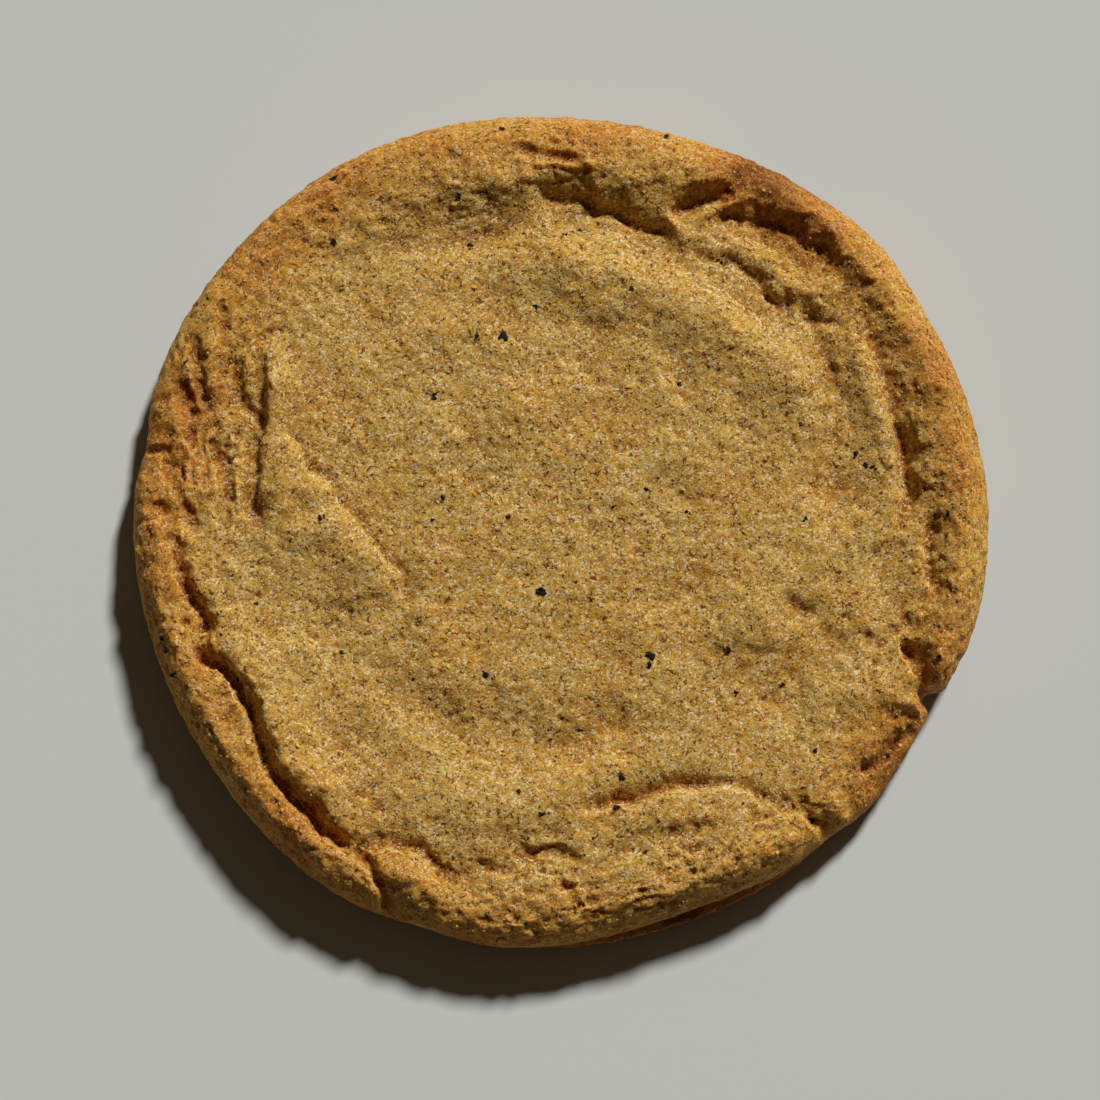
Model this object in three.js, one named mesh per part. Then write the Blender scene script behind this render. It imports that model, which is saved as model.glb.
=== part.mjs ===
// A cornbread cookie: one soft, thick baked disc. Its rim has sunk into broad rolls,
// the middle has settled into a plateau, and seams, creases and small pits run
// between the two. The base is flat.
//
// Millimetres, +Z up, the middle of the base at the origin. A place on the top is
// [degrees anticlockwise from +X, distance from the middle]. The edge nearest the
// viewer is at 270 degrees.

import * as THREE from "three";

// ---- driving dimensions ----
const COOKIE_RADIUS = 49.95; // at the widest line of the side
const PLATEAU_HEIGHT = 9; // the settled middle of the top
const WIDEST_HEIGHT = 4.4; // where the side stands out furthest
const EDGE_ROLL = 3.6; // how far in the top's rounded edge reaches
const BASE_TUCK = 2.4; // how far the base is drawn in under the side
const RIM_BAND = 13.5; // width of the folded zone inside the edge
const FRONT_TO_BACK = 1.012; // how much longer the cookie is from front to back
const TOP_SHIFT = 0.7; // how far the folds' middle lies in front of the base's

// ---- mesh fineness ----
const SEGMENTS = 156; // steps round the cookie
const EDGE_STEPS = 4; // steps over the rounded top edge
const UNDER_STEPS = 6; // steps under the side, down to the base
const RIM_STEPS = 13; // rings in the folded rim band
const MIDDLE_STEPS = 13; // rings in the plateau
const BASE_STEPS = 2; // rings in the flat base
const PATH_STEP = 1.2; // spacing of the points along a fold's path

// ---- the outline: how far it leaves a circle ----
// at: middle of the change in degrees, span: half its width, by: mm outwards
const OUTLINE_CHANGES = [
  { at: 42, span: 14, by: 0.5 }, // back corner of the right rim
  { at: 78, span: 34, by: -1 }, // flattened back edge
  { at: 134, span: 44, by: 1.2 }, // swollen back left
  { at: 160, span: 26, by: 0.7 },
  { at: 168.5, span: 6, by: -0.6 }, // crumbled gap on the left
  { at: 180, span: 16, by: 0.4 },
  { at: 215, span: 30, by: -0.7 },
  { at: 250, span: 12, by: -0.5 },
  { at: 296, span: 74, by: -2.3 }, // flattened front right
  { at: 311, span: 10, by: -0.6 },
  { at: 332, span: 18, by: -1.1 },
  { at: 335.2, span: 2.4, by: -1.8 }, // notch where the rim roll is split
];

// ---- the lip: at the front right the base spreads past the side ----
const LIP = { at: 288, span: 30, inset: 1.4, height: 3, slitDepth: 0.8, slitHeight: 0.9 };

// ---- folds: the rolls of the rim, and the seams and creases between them ----
// path: the places that a fold runs through
// roll: [mm added, mm to where it has faded out], on both sides of the path
// left, right: the same on one side alone, a raised one behind a rounded edge
// cut: [mm deep, mm that its wall leans out to the left, and to the right]
// fade: shares of the path over which its two ends die away
const FOLDS = [
  // rolls of the rim
  { path: [[334.5, 45.5], [342, 46.2], [365, 46.5], [385, 46.6], [422, 46.2]],
    roll: [1.7, 5.2], fade: [0.05, 0.08] }, // right
  { path: [[60, 45.3], [75, 44.6], [108, 44.5], [125, 45]],
    roll: [1.5, 6], fade: [0.1, 0.3] }, // back
  { path: [[178, 48], [190, 47.3], [205, 46.8], [236, 46.6]],
    roll: [0.9, 3.2], fade: [0.3, 0.05] }, // left
  { path: [[239.5, 43.7], [249, 43.6], [256, 43.9]],
    roll: [0.8, 3.4], fade: [0.1, 0.3] }, // short roll at the front left
  { path: [[266, 36.5], [281, 35.2], [297, 36.9], [304, 41.4]],
    roll: [0.9, 6], fade: [0.2, 0.15] }, // front
  { path: [[257, 43.3], [282, 41.6], [308, 44.9]],
    roll: [0.9, 5], fade: [0.2, 0.05] }, // outer part of the front
  { path: [[315, 47], [325, 47], [334, 46]],
    roll: [-1.4, 6], fade: [0.1, 0.1] }, // corner lobe, sloping down outwards
  // back
  { path: [[104, 36.4], [84, 36.8], [69, 36.5]],
    roll: [-0.4, 5], fade: [0.25, 0.2] }, // slope down to the trench
  { path: [[96.6, 39], [86.2, 38.9], [73.6, 36.7], [70, 38.4]], left: [0.5, 6], right: [-1.2, 7],
    cut: [1.9, 3, 1.8], rounding: 2.5, fade: [0.2, 0.12] }, // trench
  { path: [[131, 41.3], [116.6, 37.2], [101.7, 36.3], [96.3, 37.4]],
    cut: [0.9, 6, 3], fade: [0.4, 0.15] }, // its shallow end
  { path: [[115.3, 43.1], [95.4, 41.3], [74.1, 40.8]],
    roll: [0.6, 4], fade: [0.3, 0.3] }, // rise behind it
  { path: [[71.8, 39.4], [68, 41.6], [64.6, 43.9]],
    left: [0.5, 4], right: [-0.8, 5], cut: [2, 2, 1.8], fade: [0.2, 0.3] }, // seam beside it
  { path: [[65.5, 43.3], [63.6, 45.6], [62.7, 48.9]],
    cut: [1.7, 2.4, 2.4], fade: [0.3, 0.1] }, // its end at the edge
  // back right
  { path: [[62.6, 43.5], [59, 42.7], [53.7, 44], [49.8, 43.9], [45.6, 46.8]], left: [0.4, 5],
    right: [-1.2, 6], cut: [2, 3.2, 2], rounding: 2.5, fade: [0.2, 0.2] }, // trench
  { path: [[45.1, 45.7], [36.8, 44.5], [34.9, 43.7]],
    right: [-0.4, 4], cut: [0.7, 1.8, 1.3], fade: [0.15, 0.2] }, // its end at the corner
  { path: [[67.6, 37.5], [62.3, 36.3], [57.5, 37.6], [46.7, 36.4], [42.9, 37.4]], left: [0.6, 5],
    right: [-0.8, 7], cut: [1.3, 2.6, 1.8], rounding: 2, fade: [0.2, 0.1] }, // raised shelf
  { path: [[42.9, 37.6], [35.9, 37.1], [33.3, 37.5]],
    right: [-0.4, 3.5], cut: [0.9, 1.6, 1.3], fade: [0.1, 0.2] }, // ledge of the shelf
  // right
  { path: [[34.6, 38.4], [29.3, 36.2], [15.4, 35.4]], left: [0.5, 4], right: [-0.6, 5],
    cut: [0.9, 2.6, 1.3], rounding: 2, fade: [0.15, 0.35] }, // foot of the inner ridge
  { path: [[33.6, 41.3], [25.5, 41.2], [15.1, 40.4], [1.9, 39.1], [-2.5, 36.8]],
    right: [0.4, 3], cut: [0.9, 2.8, 1.3], rounding: 1.2, fade: [0.3, 0.15] }, // its edge
  { path: [[20.1, 44.2], [12.4, 43.7], [4.8, 43.1]],
    roll: [0.6, 3.5], fade: [0.3, 0.3] }, // shelf beyond the trench
  { path: [[18.3, 40.3], [12.2, 40], [2.4, 39.3]],
    cut: [1.7, 1.9, 1.3], fade: [0.25, 0.15] }, // trench
  { path: [[3, 42.5], [-4.6, 42.2], [-12.2, 44.4]],
    cut: [1.5, 2.2, 1.3], fade: [0.2, 0.35] }, // its low end
  { path: [[359.3, 38.2], [349.4, 38.3], [342.5, 36.3]],
    roll: [-0.7, 4], fade: [0.3, 0.3] }, // sunken floor
  { path: [[342.8, 41.4], [338.6, 43.8], [333, 47.6]],
    cut: [2.4, 3.8, 1.3], fade: [0.2, 0] }, // notch where the rim roll is split
  { path: [[339.6, 36.2], [340.8, 38.8], [347.7, 41.9]],
    cut: [0.9, 1.3, 1.3], fade: [0.15, 0.3] }, // seam of the corner lobe
  { path: [[343.8, 26.1], [340.6, 29.3], [338.4, 30.5]],
    cut: [1.4, 2.2, 4.2], fade: [0.35, 0.35] }, // scoop
  { path: [[320.5, 43.9], [322.9, 44.8], [331.1, 46.5]],
    right: [-0.5, 5], cut: [1.3, 1.4, 1.3], fade: [0.1, 0.25] }, // lip of the corner lobe
  // front
  { path: [[268.6, 31.9], [293.8, 32], [305.8, 36.2], [307.5, 39.9], [310.5, 41.6], [311.1, 46.3]],
    cut: [1.1, 1.6, 1.3], fade: [0.3, 0.02] }, // crease
  { path: [[270.3, 32.6], [288.4, 31.8], [304.1, 35.4]],
    cut: [1.2, 3.2, 1.3], fade: [0.3, 0.3] }, // its deep part
  { path: [[310.5, 41.9], [311.2, 46.7]],
    cut: [1.3, 2.8, 1.3], fade: [0.3, 0] }, // its open end
  { path: [[254, 40.7], [261, 39.3], [265.4, 37.2], [274, 37.9]],
    cut: [1, 1.5, 1.3], fade: [0.15, 0.25] }, // crease along the front roll
  // left
  { path: [[176.8, 48.5], [178.3, 46.8], [190.6, 44], [193.9, 42.9], [198.7, 44.5], [206.3, 41.6],
    [220.3, 43.9], [236.9, 43.8]],
    left: [0.8, 8], cut: [2.2, 1.9, 1.3], rounding: 2, fade: [0.2, 0.03] }, // long seam
  { path: [[223.6, 43.3], [236, 43.9]],
    cut: [0.9, 3.3, 1.3], fade: [0.35, 0.12] }, // its wide stretch
  { path: [[236.8, 43.6], [242, 46], [247.9, 48.9]],
    cut: [1.8, 2, 1.3], fade: [0.03, 0] }, // its branch out to the edge
  { path: [[237.3, 43.4], [240.2, 41.4], [244.1, 40.5], [254.1, 42.2]],
    cut: [1.5, 1.8, 1.3], fade: [0.06, 0.2] }, // its branch inwards
  { path: [[191.5, 40], [214, 39.6], [234.8, 39.9]],
    roll: [1.2, 5.6], fade: [0.3, 0.2] }, // swell inside it
  { path: [[203.5, 20], [212.9, 23.3], [228.9, 30.6]],
    roll: [-0.6, 6], fade: [0.3, 0.3] }, // hollow inside that
  { path: [[182.7, 34.9], [168.6, 35.8], [146.6, 40.9]],
    left: [-0.3, 5], cut: [1.3, 2.4, 1.3], fade: [0.3, 0.15] }, // edge of the plateau
  { path: [[146, 41.6], [161, 36], [185.8, 33]],
    roll: [0.9, 3.4], fade: [0.15, 0.25] }, // ridge inside it
  { path: [[151.2, 48.8], [157.4, 45.7], [161.5, 42.7]],
    cut: [0.7, 1.5, 2], fade: [0.3, 0.3] }, // outer crack of the crumbled rim
  { path: [[150.4, 43.6], [156.6, 41.6], [159.2, 38.9]],
    cut: [0.7, 1.5, 1.8], fade: [0.3, 0.3] }, // inner crack of the crumbled rim
  { path: [[168.6, 49.2], [167.4, 47.3]],
    cut: [2.2, 1.6, 1.3], fade: [0, 0.4] }, // crumbled gap
  // middle
  { path: [[160.6, 34.8], [161.5, 32.4], [173.5, 25.5], [192.8, 19.4], [199.5, 19.1], [211.8, 21.8]],
    right: [1.4, 8.5], rounding: 4, fade: [0.08, 0.3] }, // long fold
  { path: [[97.5, 29.9], [58.3, 30.1], [29.9, 31.6], [21.3, 32.2]],
    roll: [1.1, 6.5], fade: [0.15, 0.2] }, // back right swell
  { path: [[59.1, 25.1], [27.6, 28.3], [18.3, 30.7]],
    roll: [-0.3, 6], fade: [0.3, 0.3] }, // dip inside that
  { path: [[114.2, 23.6], [82.8, 24.4], [67.6, 23.3]],
    roll: [-0.4, 3.2], fade: [0.3, 0.3] }, // back dip
  { path: [[116.7, 34.5], [90.7, 32.6], [74.1, 32.4]],
    roll: [0.4, 4.5], fade: [0.3, 0.3] }, // back crest
  { path: [[214.5, 22.3], [246.5, 25.8], [304.6, 23.8]],
    roll: [-0.9, 5], fade: [0.3, 0.3] }, // front dip
  { path: [[233.2, 34.6], [257.1, 32.9], [269.2, 29.8], [302.5, 29.4]],
    roll: [0.8, 5], fade: [0.2, 0.3] }, // front crest
];
const ROUNDING = 1.4; // over which a side rises behind its edge, where the fold names none

// ---- single dents, and lumps where the amount is positive ----
// reach: mm to where it has faded out, by: mm upwards
const DENTS = [
  { at: [321.7, 29.7], reach: 7, by: -0.8 },
  { at: [355.7, 29.2], reach: 5, by: 0.6 },
  { at: [316.8, 32.8], reach: 4.5, by: 0.5 },
  { at: [331.5, 32.5], reach: 6, by: -0.5 },
  { at: [341.4, 25], reach: 7.5, by: 0.8 },
  { at: [336.6, 34.7], reach: 5.5, by: -0.4 },
  { at: [11.4, 32.2], reach: 6.5, by: -0.8 },
  { at: [65.2, 40.5], reach: 3, by: 0.6 },
  { at: [43.6, 41.4], reach: 3.5, by: 0.6 },
  { at: [79.1, 21.1], reach: 6, by: -0.6 },
  { at: [109.8, 14.9], reach: 6, by: 0.6 },
  { at: [133.2, 44.6], reach: 8, by: -0.4 },
  { at: [132.9, 34.6], reach: 7, by: -0.6 },
  { at: [110.8, 43.5], reach: 6, by: -0.5 },
  { at: [165, 49.6], reach: 14, by: -1.8 },
  { at: [178.3, 43.5], reach: 5, by: -0.6 },
  { at: [183.6, 31.5], reach: 6, by: 0.7 },
  { at: [203.2, 29.2], reach: 5.5, by: -0.8 },
  { at: [224.7, 34.5], reach: 5, by: -0.5 },
  { at: [334.2, 14.4], reach: 6, by: -0.5 },
];

// ---- colour ----
const CRUST_COLOR = "#b08a4c";
const CRUST_ROUGHNESS = 0.85;

const NONE = [0, 1, 1]; // a part of a fold that adds nothing

const smooth = (share) => THREE.MathUtils.smoothstep(share, 0, 1);

// The angle from one direction to another, between -180 and 180 degrees.
const turnBetween = (from, to) => THREE.MathUtils.euclideanModulo(to - from + 180, 360) - 180;

// A point of the top, from its direction and its distance from the middle.
function polarPoint([degrees, distance]) {
  const angle = THREE.MathUtils.degToRad(degrees);
  return new THREE.Vector2(distance * Math.cos(angle), distance * Math.sin(angle));
}

// How strong a change round the edge still is in a given direction, from 0 to 1.
const strengthAt = (degrees, { at, span }) => smooth(1 - Math.abs(turnBetween(degrees, at)) / span);

// The radius of the outline in a given direction.
function outlineRadius(degrees) {
  let radius = COOKIE_RADIUS;
  for (const change of OUTLINE_CHANGES) {
    radius += change.by * strengthAt(degrees, change);
  }
  return radius;
}

// The smooth line through a path's polar points, as close points on the top.
function pathPoints(path) {
  const controls = path.map(([degrees, distance]) => new THREE.Vector2(degrees, distance));
  const curve = new THREE.SplineCurve(controls);
  const corners = path.map(polarPoint);
  let length = 0;
  for (let i = 1; i < corners.length; i += 1) {
    length += corners[i].distanceTo(corners[i - 1]);
  }
  const steps = Math.ceil(length / PATH_STEP);
  return curve.getPoints(steps).map(({ x, y }) => polarPoint([x, y]));
}

// The nearest place on a line of points: its distance, positive on the left of
// the line, and its share of the way along it.
function nearestOnLine(line, point) {
  const nearest = { distance: Infinity, share: 0 };
  for (let i = 1; i < line.length; i += 1) {
    const start = line[i - 1];
    const run = line[i].clone().sub(start);
    const offset = point.clone().sub(start);
    const along = THREE.MathUtils.clamp(offset.dot(run) / run.lengthSq(), 0, 1);
    const foot = start.clone().addScaledVector(run, along);
    const distance = foot.distanceTo(point);
    if (distance < Math.abs(nearest.distance)) {
      nearest.distance = Math.sign(run.cross(offset)) * distance;
      nearest.share = (i - 1 + along) / (line.length - 1);
    }
  }
  return nearest;
}

// How strong a fold still is at a share of its path, from 0 to 1.
function endFade(share, [first, last]) {
  const rise = first > 0 ? smooth(share / first) : 1;
  const fall = last > 0 ? smooth((1 - share) / last) : 1;
  return rise * fall;
}

// The height that one fold adds at a point: its roll, its raised side and its cut.
function foldHeight(fold, point) {
  const { roll = NONE, left = NONE, right = NONE, cut = NONE, rounding = ROUNDING } = fold;
  const { distance, share } = nearestOnLine(fold.line, point);
  const away = Math.abs(distance);
  const [lift, reach] = distance > 0 ? left : right;
  const [depth, leftWall, rightWall] = cut;
  const wall = distance > 0 ? leftWall : rightWall;
  const edge = smooth(away / (lift > 0 ? rounding : wall));
  const rolled = roll[0] * smooth(1 - away / roll[1]);
  const raised = lift * edge * smooth(1 - away / reach);
  const pressed = depth * smooth(1 - away / wall);
  return (rolled + raised - pressed) * endFade(share, fold.fade);
}

// The height that one dent adds at a point.
const dentHeight = ({ center, reach, by }, point) => by * smooth(1 - center.distanceTo(point) / reach);

const folds = FOLDS.map((fold) => ({ ...fold, line: pathPoints(fold.path) }));
const dents = DENTS.map((dent) => ({ ...dent, center: polarPoint(dent.at) }));

// The height of the top over a point, before its edge is rounded down.
function topHeight(point) {
  const place = new THREE.Vector2(point.x, (point.y + TOP_SHIFT) / FRONT_TO_BACK);
  let height = PLATEAU_HEIGHT;
  for (const fold of folds) {
    height += foldHeight(fold, place);
  }
  for (const dent of dents) {
    height += dentHeight(dent, place);
  }
  return height;
}

// Half of the cookie's section, from the middle of the base round to the middle
// of the top: flat base, rounded side, rounded edge, folded band and plateau.
function sectionPoints() {
  const baseRadius = COOKIE_RADIUS - BASE_TUCK;
  const edgeRadius = COOKIE_RADIUS - EDGE_ROLL;
  const bandRadius = COOKIE_RADIUS - RIM_BAND;
  const points = [];
  for (let i = 0; i <= BASE_STEPS; i += 1) {
    points.push(new THREE.Vector2((baseRadius * i) / BASE_STEPS, 0));
  }
  for (let i = 1; i <= UNDER_STEPS; i += 1) {
    const angle = (Math.PI / 2) * (i / UNDER_STEPS);
    points.push(new THREE.Vector2(
      baseRadius + BASE_TUCK * Math.sin(angle),
      WIDEST_HEIGHT * (1 - Math.cos(angle)),
    ));
  }
  for (let i = 1; i <= EDGE_STEPS; i += 1) {
    const angle = (Math.PI / 2) * (i / EDGE_STEPS);
    points.push(new THREE.Vector2(
      edgeRadius + EDGE_ROLL * Math.cos(angle),
      WIDEST_HEIGHT + (PLATEAU_HEIGHT - WIDEST_HEIGHT) * Math.sin(angle),
    ));
  }
  for (let i = 1; i <= RIM_STEPS; i += 1) {
    const radius = THREE.MathUtils.lerp(edgeRadius, bandRadius, i / RIM_STEPS);
    points.push(new THREE.Vector2(radius, PLATEAU_HEIGHT));
  }
  for (let i = 1; i <= MIDDLE_STEPS; i += 1) {
    points.push(new THREE.Vector2(bandRadius * (1 - i / MIDDLE_STEPS), PLATEAU_HEIGHT));
  }
  return points;
}

// How far the side is drawn in at a height, above the lip and in the slit over it.
function lipInset(degrees, height) {
  const strength = strengthAt(degrees, LIP);
  const above = smooth((height - LIP.height) / LIP.slitHeight + 0.5);
  const inSlit = smooth(1 - Math.abs(height - LIP.height) / LIP.slitHeight);
  return strength * (LIP.inset * above + LIP.slitDepth * inSlit);
}

// Moves one vertex of the plain disc to its place on the uneven cookie.
function shapeVertex(vertex) {
  const degrees = THREE.MathUtils.radToDeg(Math.atan2(vertex.y, vertex.x));
  const plainRadius = Math.hypot(vertex.x, vertex.y);
  const edgeShare = smooth((plainRadius - (COOKIE_RADIUS - RIM_BAND)) / RIM_BAND);
  const plainHeight = vertex.z;
  const grown = plainRadius * (outlineRadius(degrees) / COOKIE_RADIUS);
  const radius = grown - edgeShare * lipInset(degrees, plainHeight);
  const place = polarPoint([degrees, radius]);
  place.y *= FRONT_TO_BACK;
  vertex.set(place.x, place.y, plainHeight);
  if (plainHeight > WIDEST_HEIGHT) {
    const share = (plainHeight - WIDEST_HEIGHT) / (PLATEAU_HEIGHT - WIDEST_HEIGHT);
    vertex.z = WIDEST_HEIGHT + share * (topHeight(place) - WIDEST_HEIGHT);
  }
}

function makeCookie() {
  const geometry = new THREE.LatheGeometry(sectionPoints(), SEGMENTS);
  geometry.rotateX(Math.PI / 2);
  const positions = geometry.getAttribute("position");
  const vertex = new THREE.Vector3();
  for (let i = 0; i < positions.count; i += 1) {
    vertex.fromBufferAttribute(positions, i);
    shapeVertex(vertex);
    positions.setXYZ(i, vertex.x, vertex.y, vertex.z);
  }
  geometry.computeVertexNormals();
  const crust = new THREE.MeshStandardMaterial({
    color: CRUST_COLOR,
    roughness: CRUST_ROUGHNESS,
    metalness: 0,
  });
  const cookie = new THREE.Mesh(geometry, crust);
  cookie.name = "cookie";
  return cookie;
}

const part = new THREE.Group();
part.add(makeCookie());

export default part;
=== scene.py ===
# %% [markdown]
# # A cornbread cookie
# One thick, soft-baked round cookie, seen almost from above. Its middle has settled into
# a plateau, its rim stands round it in broad rolls, and seams, creases and small pits run
# between the two. The whole surface is fine sandy crumb with dark pores, yellow corn grits
# and a few black flecks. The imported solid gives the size, and what is made here keeps to it.

# %% Load the frame
import math
import random

import bpy
import numpy as np
from mathutils import Euler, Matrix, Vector, noise
from mathutils.bvhtree import BVHTree


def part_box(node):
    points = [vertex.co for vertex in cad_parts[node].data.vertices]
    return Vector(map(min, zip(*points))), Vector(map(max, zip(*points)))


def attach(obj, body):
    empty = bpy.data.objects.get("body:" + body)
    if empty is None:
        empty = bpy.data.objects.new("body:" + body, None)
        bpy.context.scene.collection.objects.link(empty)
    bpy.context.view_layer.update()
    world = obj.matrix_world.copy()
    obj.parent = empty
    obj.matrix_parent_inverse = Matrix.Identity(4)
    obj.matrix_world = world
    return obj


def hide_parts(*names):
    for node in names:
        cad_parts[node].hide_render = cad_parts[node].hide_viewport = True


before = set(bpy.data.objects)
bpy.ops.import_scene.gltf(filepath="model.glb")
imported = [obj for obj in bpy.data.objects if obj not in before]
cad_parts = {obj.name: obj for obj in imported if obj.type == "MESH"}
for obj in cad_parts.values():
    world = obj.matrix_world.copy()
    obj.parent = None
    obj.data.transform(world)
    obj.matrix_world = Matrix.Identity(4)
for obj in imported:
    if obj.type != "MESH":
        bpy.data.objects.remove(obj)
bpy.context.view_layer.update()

solid_low, solid_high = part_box("cookie")
print("solid cookie in mm:", [round(side * 1000, 1) for side in solid_high - solid_low])

# %% [markdown]
# ## Units and selection
# Blender works in metres and a cookie is thought of in millimetres, so places are written
# in millimetres and turned into metres by `MM`. Operators act on whatever is selected, so
# one helper leaves just the pieces in hand selected, the first of them active.

# %% Helpers for selecting and reading a piece
MM = 0.001


def select_only(*pieces):
    for other in list(bpy.context.selected_objects):
        other.select_set(False)
    for piece in pieces:
        piece.select_set(True)
    if pieces:
        bpy.context.view_layer.objects.active = pieces[0]


def points_mm(piece):
    flat = np.empty(len(piece.data.vertices) * 3, np.float32)
    piece.data.vertices.foreach_get("co", flat)
    return flat.reshape(-1, 3).astype(float) / MM


def add_mesh(name, places, edges, faces):
    mesh = bpy.data.meshes.new(name)
    mesh.from_pydata(places, edges, faces)
    piece = bpy.data.objects.new(name, mesh)
    bpy.context.collection.objects.link(piece)
    select_only(piece)
    return piece


def apply_modifier(piece, modifier):
    select_only(piece)
    bpy.ops.object.modifier_apply(modifier=modifier.name)


select_only()

# %% [markdown]
# ## The plain round
# A drop cookie starts as a ball of dough that slumps into a disc with a rounded edge. A
# bevelled cylinder would do, but half a section spun round the Z axis gives full control
# of the edge: flat base, tucked side, rounded top edge, plateau. Spinning gives long thin
# faces near the middle, so a voxel remesh then makes all faces alike, ready to be shaped.

# %% Section of the plain round
COOKIE_RADIUS = 49.95
PLATEAU_HEIGHT = 9.0
WIDEST_HEIGHT = 4.4
EDGE_ROLL = 3.6
BASE_TUCK = 2.4
ARC_STEPS = 8
SPIN_STEPS = 128
SHAPING_VOXEL = 0.36
WELD = 0.02


def section_points():
    base = COOKIE_RADIUS - BASE_TUCK
    edge = COOKIE_RADIUS - EDGE_ROLL
    points = [(0.0, 0.0), (base, 0.0)]
    for angle in np.linspace(0.0, math.pi / 2, ARC_STEPS)[1:]:
        points.append((base + BASE_TUCK * math.sin(angle), WIDEST_HEIGHT * (1 - math.cos(angle))))
    for angle in np.linspace(0.0, math.pi / 2, ARC_STEPS)[1:]:
        rise = (PLATEAU_HEIGHT - WIDEST_HEIGHT) * math.sin(angle)
        points.append((edge + EDGE_ROLL * math.cos(angle), WIDEST_HEIGHT + rise))
    points.append((0.0, PLATEAU_HEIGHT))
    return points


# %% Spin the section and even out the mesh
def even_mesh(piece, voxel):
    remesh = piece.modifiers.new("even", "REMESH")
    remesh.mode = "VOXEL"
    remesh.voxel_size = voxel * MM
    apply_modifier(piece, remesh)
    print("even mesh:", len(piece.data.polygons), "faces")


def spin_round(name):
    places = [(radius * MM, 0.0, height * MM) for radius, height in section_points()]
    piece = add_mesh(name, places, [(i, i + 1) for i in range(len(places) - 1)], [])
    bpy.ops.object.mode_set(mode="EDIT")
    bpy.ops.mesh.select_all(action="SELECT")
    bpy.ops.mesh.spin(steps=SPIN_STEPS, angle=2 * math.pi, center=(0, 0, 0), axis=(0, 0, 1))
    bpy.ops.mesh.select_all(action="SELECT")
    bpy.ops.mesh.remove_doubles(threshold=WELD * MM)
    bpy.ops.mesh.normals_make_consistent(inside=False)
    bpy.ops.object.mode_set(mode="OBJECT")
    return piece


cookie = spin_round("baked_cookie")
even_mesh(cookie, SHAPING_VOXEL)

# %% [markdown]
# ## Pushing points
# The folds are shaped the way a sculptor would: a stroke along a path raises a roll or
# presses a seam. Sculpt brushes need a mouse, so each stroke is worked out as an amount for
# every point, painted into a vertex group and carried out by a Displace modifier. Raising
# and pressing need opposite strengths, so one push is split into the two.

# %% Push points by their own amounts
LEAST_PUSH = 0.0001


def paint_group(piece, name, weights):
    attribute = piece.data.attributes.new(name, "FLOAT", "POINT")
    attribute.data.foreach_set("value", weights.astype(np.float32))
    piece.data.attributes.active = attribute
    select_only(piece)
    bpy.ops.geometry.attribute_convert(mode="VERTEX_GROUP")


def push(piece, amounts, direction):
    for sign in (1, -1):
        one_way = np.clip(sign * amounts, 0, None)
        most = one_way.max()
        if most < LEAST_PUSH:
            continue
        paint_group(piece, "amount", one_way / most)
        displace = piece.modifiers.new("push", "DISPLACE")
        displace.direction = direction
        displace.mid_level = 0.0
        displace.strength = sign * most * MM
        displace.vertex_group = "amount"
        apply_modifier(piece, displace)
        piece.vertex_groups.clear()


# %% Helpers for places on the cookie
def smooth(share):
    share = np.clip(share, 0, 1)
    return share * share * (3 - 2 * share)


def turn_between(start, end):
    return (end - start + 180) % 360 - 180


def polar(points):
    return np.degrees(np.arctan2(points[:, 1], points[:, 0])), np.hypot(points[:, 0], points[:, 1])


def place(degrees, distance):
    angle = math.radians(degrees)
    return np.array([distance * math.cos(angle), distance * math.sin(angle)])


# %% [markdown]
# ## The outline
# Seen from above the cookie is not a circle: the back is flattened, the back left swells,
# a gap has crumbled out on the left, and a notch splits the rim at the lower right. Each
# change has a middle (degrees anticlockwise from +X), half its width and an amount
# outwards. At the front right the base spreads past the side as a lip, under a thin slit.

# %% Change the outline
OUTLINE_CHANGES = [
    (42, 14, 0.5), (78, 34, -1), (134, 44, 1.2), (160, 26, 0.7), (168.5, 6, -0.6), (180, 16, 0.4),
    (215, 30, -0.7), (250, 12, -0.5), (296, 74, -2.3), (311, 10, -0.6), (332, 18, -1.1),
    (335.2, 2.4, -1.8),
]
FRONT_TO_BACK = 1.012
EDGE_ZONE = 14
LIP_AT = 288
LIP_SPAN = 30
LIP_INSET = 1.4
LIP_HEIGHT = 3.0
SLIT_DEPTH = 0.8
SLIT_HEIGHT = 0.9


def outline_radius(degrees):
    radius = np.full(len(degrees), COOKIE_RADIUS)
    for middle, span, amount in OUTLINE_CHANGES:
        radius += amount * smooth(1 - np.abs(turn_between(middle, degrees)) / span)
    return radius


def lip_inset(degrees, height):
    strength = smooth(1 - np.abs(turn_between(LIP_AT, degrees)) / LIP_SPAN)
    above = smooth((height - LIP_HEIGHT) / SLIT_HEIGHT + 0.5)
    in_slit = smooth(1 - np.abs(height - LIP_HEIGHT) / SLIT_HEIGHT)
    return strength * (LIP_INSET * above + SLIT_DEPTH * in_slit)


def shape_outline(piece):
    points = points_mm(piece)
    degrees, distance = polar(points)
    near_edge = smooth((distance - COOKIE_RADIUS + EDGE_ZONE) / EDGE_ZONE)
    moved = distance * outline_radius(degrees) / COOKIE_RADIUS
    moved -= near_edge * lip_inset(degrees, points[:, 2])
    share = moved / np.maximum(distance, LEAST_PUSH)
    push(piece, points[:, 0] * (share - 1), "X")
    push(piece, points[:, 1] * (share * FRONT_TO_BACK - 1), "Y")


shape_outline(cookie)

# %% [markdown]
# ## Strokes for rolls and seams
# A stroke follows a path of a few places on the top, each as degrees round and millimetres
# out, with a smooth curve through them. `roll` raises both sides out to a reach (or sinks
# them, where it is negative). `left` and `right` raise one side of the path behind a
# rounded edge, or sink it beyond the wall of the cut. `cut` presses a seam: its depth, and
# how far its wall leans out to the left and to the right. A seam with one short wall and
# one long one looks like dough folded over dough. `fade` is the share of the path over
# which each end dies away.

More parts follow.
